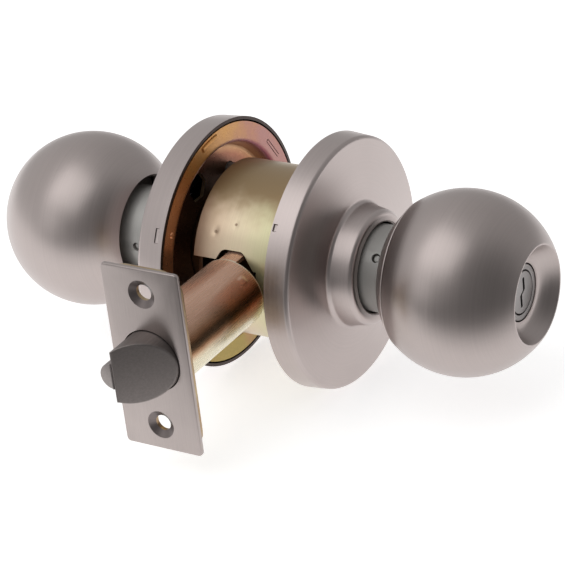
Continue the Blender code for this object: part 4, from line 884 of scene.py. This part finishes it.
def inside_plate():
    """Dished plate under the inside rose, with its hub, screw and hexagon holes.

    Its flange has two slits with a lanced strip in each, a curved prong and a pressed dimple.
    """
    floor = DOOR_HALF + RECESS_DEPTH
    path = opened([(BEARING_RADIUS + FIT, floor, 0), (RECESS_FLOOR_RADIUS, floor, 1.4),
                   (RECESS_RADIUS, DOOR_HALF, 2.0), (PLATE_RADIUS, DOOR_HALF, 0)], 8)
    plate = lathe("inside_plate", sheet(path, PLATE_WALL))
    low, high = DOOR_HALF - 2.0, floor + 4.0
    tools = screw_tools(SCREW_RADIUS + FIT, low, high)
    place = on_circle(SCREW_CIRCLE, HEXAGON_ANGLE)
    tools.append(prism("hexagon", circle(HEXAGON_RADIUS, place, 6), "Y", low, high))
    strip = bar(STRIP_WIDTH, SLIT_LENGTH, 0.1, (0.0, -FIT))
    for degrees in SLIT_ANGLES:
        slit = carve(prism("slit", bar(SLIT_WIDTH, SLIT_LENGTH, 0.2), "Y", low, high),
                     prism("strip", strip, "Y", low - 1.0, high + 1.0))
        tools.append(turn_out(slit, (RECESS_RADIUS + PLATE_RADIUS) / 2, degrees))
    carve(plate, *tools)
    arc = np.radians(np.linspace(*PRONG_ANGLES, 24))[:, None]
    around = np.hstack([np.cos(arc), np.sin(arc)])
    outline = np.vstack([PRONG_RADII[0] * around, PRONG_RADII[1] * around[::-1]])
    prong = slab("prong", outline, "Y", DOOR_HALF - 0.4, DOOR_HALF + 0.3)
    dome = opened([(0, DOOR_HALF - 0.5, 0), (0.7, DOOR_HALF - 0.5, 0.5), (1.1, DOOR_HALF + 0.3, 0),
                   (0, DOOR_HALF + 0.3, 0)])
    dimple = lathe("dimple", dome, steps=HOLE_STEPS, centre=on_circle(*PLATE_DIMPLE))
    return weld(plate, prong, dimple)


def hexagon_wall(centres, normals):
    """Test for the punched walls of the inside plate's hexagon hole, which get a painted highlight."""
    x, z = on_circle(SCREW_CIRCLE, HEXAGON_ANGLE)
    away = np.hypot(centres[:, 0] - x, centres[:, 2] - z)
    return (away < HEXAGON_RADIUS + FIT) & (np.abs(normals[:, 1]) < 0.5)


def outside_plate():
    """Plate under the outside rose: its middle rises to the drum, with a threaded boss for each screw."""
    floor = -DRUM_HALF - FIT
    path = opened([(PLATE_RADIUS, -DOOR_HALF, 0), (BORE_STEP_RADIUS, -DOOR_HALF, 1.4),
                   (BORE_STEP_RADIUS - PLATE_WALL, floor, 1.4), (BEARING_RADIUS + FIT, floor, 0)], 8)
    plate = lathe("outside_plate", sheet(path, PLATE_WALL))
    top = floor - PLATE_WALL
    weld(plate, *screw_tools(BOSS_RADIUS, top - BOSS_LENGTH, top + 0.4, 40))
    return carve(plate, *screw_tools(SCREW_RADIUS + FIT, top - BOSS_LENGTH - 1.0, floor + 1.0))


def bearing_hubs():
    """Sleeves that the knobs turn in: one on the drum's closed end, one with a flange in the open end."""
    reach = DOOR_HALF + HUB_REACH
    flange = DRUM_HALF + FIT
    outer = rounded([(BEARING_BORE, -reach, 0.3), (BEARING_RADIUS, -reach, 0.3),
                     (BEARING_RADIUS, -flange, 0.2), (BEARING_BORE, -flange, 0.2)])
    outside = lathe("outside_bearing_hub", outer, steps=NECK_STEPS)
    inner_radius = DRUM_RADIUS - DRUM_WALL - FIT
    rear, front = DRUM_HALF - 2.2, DRUM_HALF - 0.6
    inner = rounded([(BEARING_BORE, rear, 0.2), (inner_radius, rear, 0.2), (inner_radius, front, 0.2),
                     (BEARING_RADIUS, front, 0.3), (BEARING_RADIUS, reach, 0.3), (BEARING_BORE, reach, 0.3)])
    inside = lathe("inside_bearing_hub", inner, steps=NECK_STEPS)
    return outside, carve(inside, *screw_tools(SCREW_RADIUS + 2 * FIT, rear - 2.0, front + 2.0))


# Latch

def front_plate():
    """Faceplate with its bolt hole and two countersunk screw holes."""
    width, height, thickness = FACEPLATE
    plate = slab("latch_faceplate", bar(width, height, 1.3), "X", -BACKSET, -BACKSET + thickness, 0.3)
    low, high = -BACKSET - 1.0, -BACKSET + thickness + 2.0
    tools = [prism("hole", circle(BOLT_RADIUS + FIT, steps=NECK_STEPS), "X", low, high)]
    sink = np.array([(0, low), (SINK_RADIUS + 1.0, low), (SINK_RADIUS, -BACKSET),
                     (SCREW_HOLE_RADIUS, -BACKSET + thickness), (SCREW_HOLE_RADIUS, high), (0, high)], float)
    tools += [lathe("sink", sink, "X", 64, (0.0, way * SCREW_HOLE_SPACING / 2)) for way in (-1, 1)]
    return carve(plate, *tools)


def in_countersink(centres, normals):
    """Test for the sloping faces of the faceplate's screw holes, which get painted shade."""
    away = np.hypot(centres[:, 1], np.abs(centres[:, 2]) - SCREW_HOLE_SPACING / 2)
    return (away < SINK_RADIUS) & (np.abs(normals[:, 0]) < 0.95)


def rear_plate():
    """Yellow plate with large round corners behind the faceplate."""
    width, height, thickness = BACKING
    plate = slab("latch_backing_plate", bar(width, height, 6.5), "X", BACKING_FACE, BACKING_FACE + thickness)
    outlines = [circle(TUBE_RADIUS + FIT, steps=NECK_STEPS)]
    outlines += [circle(SCREW_HOLE_RADIUS + FIT, (0.0, way * SCREW_HOLE_SPACING / 2), 40) for way in (-1, 1)]
    low, high = BACKING_FACE - 1.0, BACKING_FACE + thickness + 1.0
    return carve(plate, *[prism("hole", outline, "X", low, high) for outline in outlines])


def case_tube():
    """Latch tube whose end is cut away beside two tongues, with a small square pressed out of its side.

    The square raises points by its height times the product of two straight ramps, one each way.
    """
    section = rounded([(TUBE_BORE, BACKING_FACE, 0.2), (TUBE_RADIUS, BACKING_FACE, 0.25),
                       (TUBE_RADIUS, TONGUE_END, 0.25), (TUBE_BORE, TONGUE_END, 0.2)])

    def embossed(points):
        angle = np.arctan2(points[..., 2], points[..., 1])
        distance = np.hypot(points[..., 1], points[..., 2])
        degrees, along, size, height = TUBE_EMBOSS
        across = (angle - math.radians(degrees)) * distance
        offsets = across, points[..., 0] - along
        inside = [np.clip((size - np.abs(offset)) / 0.5, 0, 1) for offset in offsets]
        raised = height * inside[0] * inside[1] * (distance > TUBE_BORE + 0.5)
        return points + points * (0.0, 1.0, 1.0) * (raised / distance)[..., None]

    tube = lathe("latch_case_tube", fill_straights(section, 0.5), "X", 200, shape=embossed)
    width = TUBE_RADIUS + 2.0
    beside = [bar(width, 2 * width, 0.0, (way * (TONGUE_HALF_WIDTH + width / 2), 0.0)) for way in (-1, 1)]
    return carve(tube, *[prism("end", outline, "X", TUBE_END, TONGUE_END + 2.0) for outline in beside])


def spring_bolt():
    """Round bolt with a flat back; its bevelled nose is a plane from the tip to the low edge."""
    start = math.acos(BOLT_FLAT / BOLT_RADIUS)
    angle = np.linspace(start, 2 * math.pi - start, 90)
    outline = BOLT_RADIUS * np.column_stack([np.cos(angle), np.sin(angle)])
    slope = (BOLT_THROW - BEVEL_START) / (BOLT_FLAT + BOLT_RADIUS)
    turn = np.linspace(0, np.pi / 2, 5)
    rings = []
    for ins, back in zip(0.45 * (1 - np.sin(turn)), 0.45 * (1 - np.cos(turn))):
        ring = inset(outline, ins)
        rings.append((ring, BOLT_TIP + (BOLT_FLAT - ring[:, 0]) * slope + back))
    rings.append((outline, BOLT_REAR - 0.3))
    rings.append((inset(outline, 0.3), BOLT_REAR))
    return loft("spring_bolt", rings, "X")


def plunger_bar():
    """Deadlatch plunger against the bolt's flat back.

    Its section is half an ellipse, (flat + depth cos t, half height sin t).
    """
    flat = BOLT_FLAT + FIT
    angle = np.linspace(-math.pi / 2, math.pi / 2, 48)
    outline = np.column_stack([flat + (BOLT_RADIUS - flat) * np.cos(angle),
                               PLUNGER_HALF_HEIGHT * np.sin(angle)])
    return slab("plunger_bar", outline, "X", BOLT_TIP + PLUNGER_SETBACK, PLUNGER_REAR, 0.35)


def coil_spring(name, start, end, radius, wire, turns, centre):
    """Compression spring along X with a closed turn at each end.

    The wire's circle is carried along a helix about the centre; its height along X climbs by just over
    the wire's width in each closed turn, and evenly between them.
    """
    turn = np.linspace(0, turns + 2, int((turns + 2) * 28) + 1)
    pitch = 2 * wire * 1.15
    free = (end - start - 2 * wire - 2 * pitch) / turns
    along = start + wire + pitch * np.clip(turn, 0, 1) + free * np.clip(turn - 1, 0, turns)
    along += pitch * np.clip(turn - 1 - turns, 0, 1)
    angle = 2 * np.pi * turn
    out = np.stack([np.zeros_like(angle), np.cos(angle), np.sin(angle)], axis=1)
    middle = np.stack([along, np.full_like(along, centre[0]), np.full_like(along, centre[1])], axis=1)
    path = out * radius + middle
    ahead = np.gradient(path, axis=0)
    ahead /= np.linalg.norm(ahead, axis=1)[:, None]
    beside = np.cross(ahead, out)
    sides = 8
    angle = np.linspace(0, 2 * np.pi, sides, endpoint=False)[None, :, None]
    points = path[:, None] + wire * (np.cos(angle) * out[:, None] + np.sin(angle) * beside[:, None])
    return new_mesh(name, points, capped_faces(len(path), sides))


# The whole set

finish(knob_ball("outside", BACK_RING_RADIUS), knob_steel, "outside_knob", "outside_knob_shell")
finish(knob_ball("inside", BACK_OPENING), knob_steel, "inside_knob", "inside_knob_shell")
finish(outside_back_cover(), back_painted_light_steel, "outside_knob", "outside_back_ring")
for side in OUTWARD:
    finish(knob_neck(side), pale_turned, f"{side}_knob", f"{side}_neck")
    cover = finish(rose_cover(side), rose_steel, "chassis", f"{side}_rose")
    # A rose's inner faces get painted shade.
    second_finish(cover, rose_painted_shade, inside_rose(side))
for side in OUTWARD:
    finish(knob_spindle(side), small_zinc, f"{side}_knob", f"{side}_spindle")
finish(key_cylinder_housing(), cylinder_steel, "outside_knob", "key_cylinder_body")
finish(key_plug(), cylinder_steel, "key", "key_plug")
finish(locking_button(), knob_steel, "button", "turn_button")
finish(button_collar(), pale_turned, "inside_knob", "button_bushing")

finish(drum(), drum_zinc_painted_shade, "chassis", "chassis_housing")
plate = finish(inside_plate(), plate_zinc_painted_shade, "chassis", "inside_mounting_plate")
# The walls of the hexagon hole get a painted highlight.
second_finish(plate, painted_highlight_zinc, hexagon_wall)
finish(outside_plate(), plate_zinc_painted_shade, "chassis", "outside_mounting_plate")
outer_hub, inner_hub = bearing_hubs()
finish(outer_hub, small_zinc, "chassis", "outside_hub")
# The inside hub gets painted shade.
finish(inner_hub, painted_shade_zinc, "chassis", "inside_hub")

plate = finish(front_plate(), plate_steel, "chassis", "faceplate")
# The countersinks get painted shade.
second_finish(plate, painted_shade_sink, in_countersink)
finish(rear_plate(), backing_zinc, "chassis", "backing_plate")
finish(case_tube(), tube_zinc_painted_reflection, "chassis", "latch_tube")
finish(spring_bolt(), dark_cast, "bolt", "latch_bolt")
finish(plunger_bar(), plunger_cast, "plunger", "deadlatch_plunger")


def add_spring(name, node, start, end, winding, centre, body="chassis"):
    """Coil between its two seats."""
    coil = coil_spring(name, start, end, *winding, centre)
    finish(coil, spring_steel, body, node)
    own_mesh(coil)


add_spring("bolt_return_spring", "bolt_spring", BOLT_REAR + FIT, GUIDE_START - FIT, BOLT_SPRING, (0.0, 0.0))
# The plunger slides in the bolt, and the bolt in the tube: the front half of the spring rides on the bolt,
# the rear half on the chassis.
add_spring("plunger_return_spring_front", "plunger_spring", PLUNGER_REAR + FIT, PLUNGER_SPRING_MIDDLE - 0.1,
           PLUNGER_SPRING, (PLUNGER_SPRING_PLACE, 0.0), "bolt")
add_spring("plunger_return_spring_rear", "plunger_spring", PLUNGER_SPRING_MIDDLE + 0.1, GUIDE_START - FIT,
           PLUNGER_SPRING, (PLUNGER_SPRING_PLACE, 0.0))
for name, way in (("upper", 1), ("lower", -1)):
    add_spring(f"{name}_retractor_return_spring", f"retractor_spring_{name}", RETRACTOR_BLOCK_REAR + FIT,
               RETRACTOR_SPRING_SEAT, RETRACTOR_SPRING, (0.0, way * RETRACTOR_SPRING_HEIGHT))

# The retractor's dark zinc is painted shade.
KEPT_NODES = {
    "retractor": painted_shade_zinc, "latch_end_guide": small_zinc, "latch_tail": dark_cast, "lock_cam": dark_cast,
    "cylinder_tailpiece": brass, "button_rod": brass, "mounting_screw_upper": pale_turned,
    "mounting_screw_lower": pale_turned, "outside_knob_catch": pale_turned, "inside_knob_catch": pale_turned,
}
for name, material in KEPT_NODES.items():
    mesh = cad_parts[name].data
    mesh.materials.clear()
    mesh.materials.append(material)


# Floor, light and camera

FLOOR_LEVEL = -ROSE_RADIUS - 0.2
FLOOR_HALF = 3000.0
CAMERA_AZIMUTH, CAMERA_ELEVATION, CAMERA_ROLL = -55.72, 27.23, -7.00
CAMERA_DISTANCE, CAMERA_ASIDE, CAMERA_ABOVE = 731.83, -0.87, -9.63
FOCAL_PIXELS, FRAME_HEIGHT, SENSOR = 2467.15, 566, 36.0


def camera_axes():
    """Right, up and back of the camera before its roll, and right and up after it."""
    azimuth, elevation, roll = np.radians([CAMERA_AZIMUTH, CAMERA_ELEVATION, CAMERA_ROLL]).tolist()
    back = Vector((math.sin(azimuth) * math.cos(elevation), -math.cos(azimuth) * math.cos(elevation),
                   math.sin(elevation)))
    right = Vector((math.cos(azimuth), math.sin(azimuth), 0))
    up = back.cross(right)
    rolled_right = right * math.cos(roll) + up * math.sin(roll)
    rolled_up = up * math.cos(roll) - right * math.sin(roll)
    return right, up, back, rolled_right, rolled_up


RIGHT, UP, BACK, ROLLED_RIGHT, ROLLED_UP = camera_axes()
DARK_SIDE = (BACK * 0.95 + UP * -0.25 + RIGHT * 0.20).normalized()


def add_floor():
    """White floor that keeps the object's shadow, and for light and metal turns darker towards the camera.

    Its colour, and how much of its white is seen by the camera and mirrored by metal, all follow the
    same fade, which is 1 round the object and 0 towards the camera.
    """
    corners = np.array([(-1, -1, 0), (1, -1, 0), (1, 1, 0), (-1, 1, 0)]) * FLOOR_HALF + (0, 0, FLOOR_LEVEL)
    mesh = bpy.data.meshes.new("floor")
    mesh.from_pydata((corners * MM).tolist(), [], [(0, 1, 2, 3)])
    floor = linked("floor", mesh)
    paint = Paint("white_floor", (1, 1, 1), 0.9, 0.0)
    fade = paint.along_way("Object", Vector((BACK.x, BACK.y, 0)).normalized(), 60 * MM, 150 * MM, 1.0, 0.0)
    paint.set("Base Color", paint.math("ADD", paint.math("MULTIPLY", fade, 0.55), 0.25))
    paint.set("Specular IOR Level", 0.0)
    paint.set("Emission Color", (1, 1, 1, 1))
    white = paint.math("SUBTRACT", 1.0, paint.math("MULTIPLY", fade, 0.35))
    seen = paint.math("MULTIPLY", white, paint.ray_share("Camera", "Transmission"))
    mirrored = paint.math("MULTIPLY", paint.math("MULTIPLY", fade, 0.82), paint.ray_share("Glossy"))
    paint.set("Emission Strength", paint.math("MAXIMUM", seen, mirrored))
    mesh.materials.append(paint.material)


def add_world():
    """White for the camera; for light and metal a soft studio, dark on its side and bright on the left."""
    world = bpy.data.worlds.new("studio")
    bpy.context.scene.world = world
    world.use_nodes = True
    nodes = Nodes(world.node_tree)
    background = nodes.tree.nodes["Background"]
    background.inputs["Color"].default_value = (1, 1, 1, 1)
    front = nodes.along_way("Generated", DARK_SIDE, 0.15, 0.97, 0.60, 0.20)
    left = nodes.along_way("Generated", -RIGHT, -0.7, 0.9, 0.80, 1.22)
    tone = nodes.math("MULTIPLY", front, left)
    seen = nodes.math("MAXIMUM", tone, nodes.ray_share("Camera", "Transmission"))
    nodes.join(seen, background.inputs["Strength"])


def add_lamp(name, direction, distance, size, brightness):
    """Square soft lamp that looks at the object; its power is brightness * pi * its area."""
    lamp = bpy.data.lights.new(name, "AREA")
    lamp.shape = "SQUARE"
    lamp.size = size
    lamp.energy = brightness * math.pi * size ** 2
    holder = linked(name, lamp)
    way = Vector(direction).normalized()
    holder.location = way * distance
    holder.rotation_mode = "QUATERNION"
    holder.rotation_quaternion = way.to_track_quat("Z", "Y")


def add_camera():
    """Camera at the photograph's viewing angle."""
    camera = bpy.data.cameras.new("camera")
    camera.sensor_width = SENSOR
    camera.lens = FOCAL_PIXELS * SENSOR / FRAME_HEIGHT
    camera.clip_start, camera.clip_end = 0.05, 20
    holder = linked("camera", camera)
    place = (RIGHT * CAMERA_ASIDE + UP * CAMERA_ABOVE + BACK * CAMERA_DISTANCE) * MM
    turn = Matrix((ROLLED_RIGHT, ROLLED_UP, BACK)).transposed().to_4x4()
    holder.matrix_world = Matrix.Translation(place) @ turn
    bpy.context.scene.camera = holder


add_floor()
add_world()
add_lamp("overhead_lamp", (-0.48, 0.16, 0.86), 1.0, 0.9, 0.95)
add_lamp("left_lamp", (-0.95, 0.45, 0.35), 1.2, 0.5, 0.3)
add_camera()
bpy.context.scene.view_settings.view_transform = "Standard"
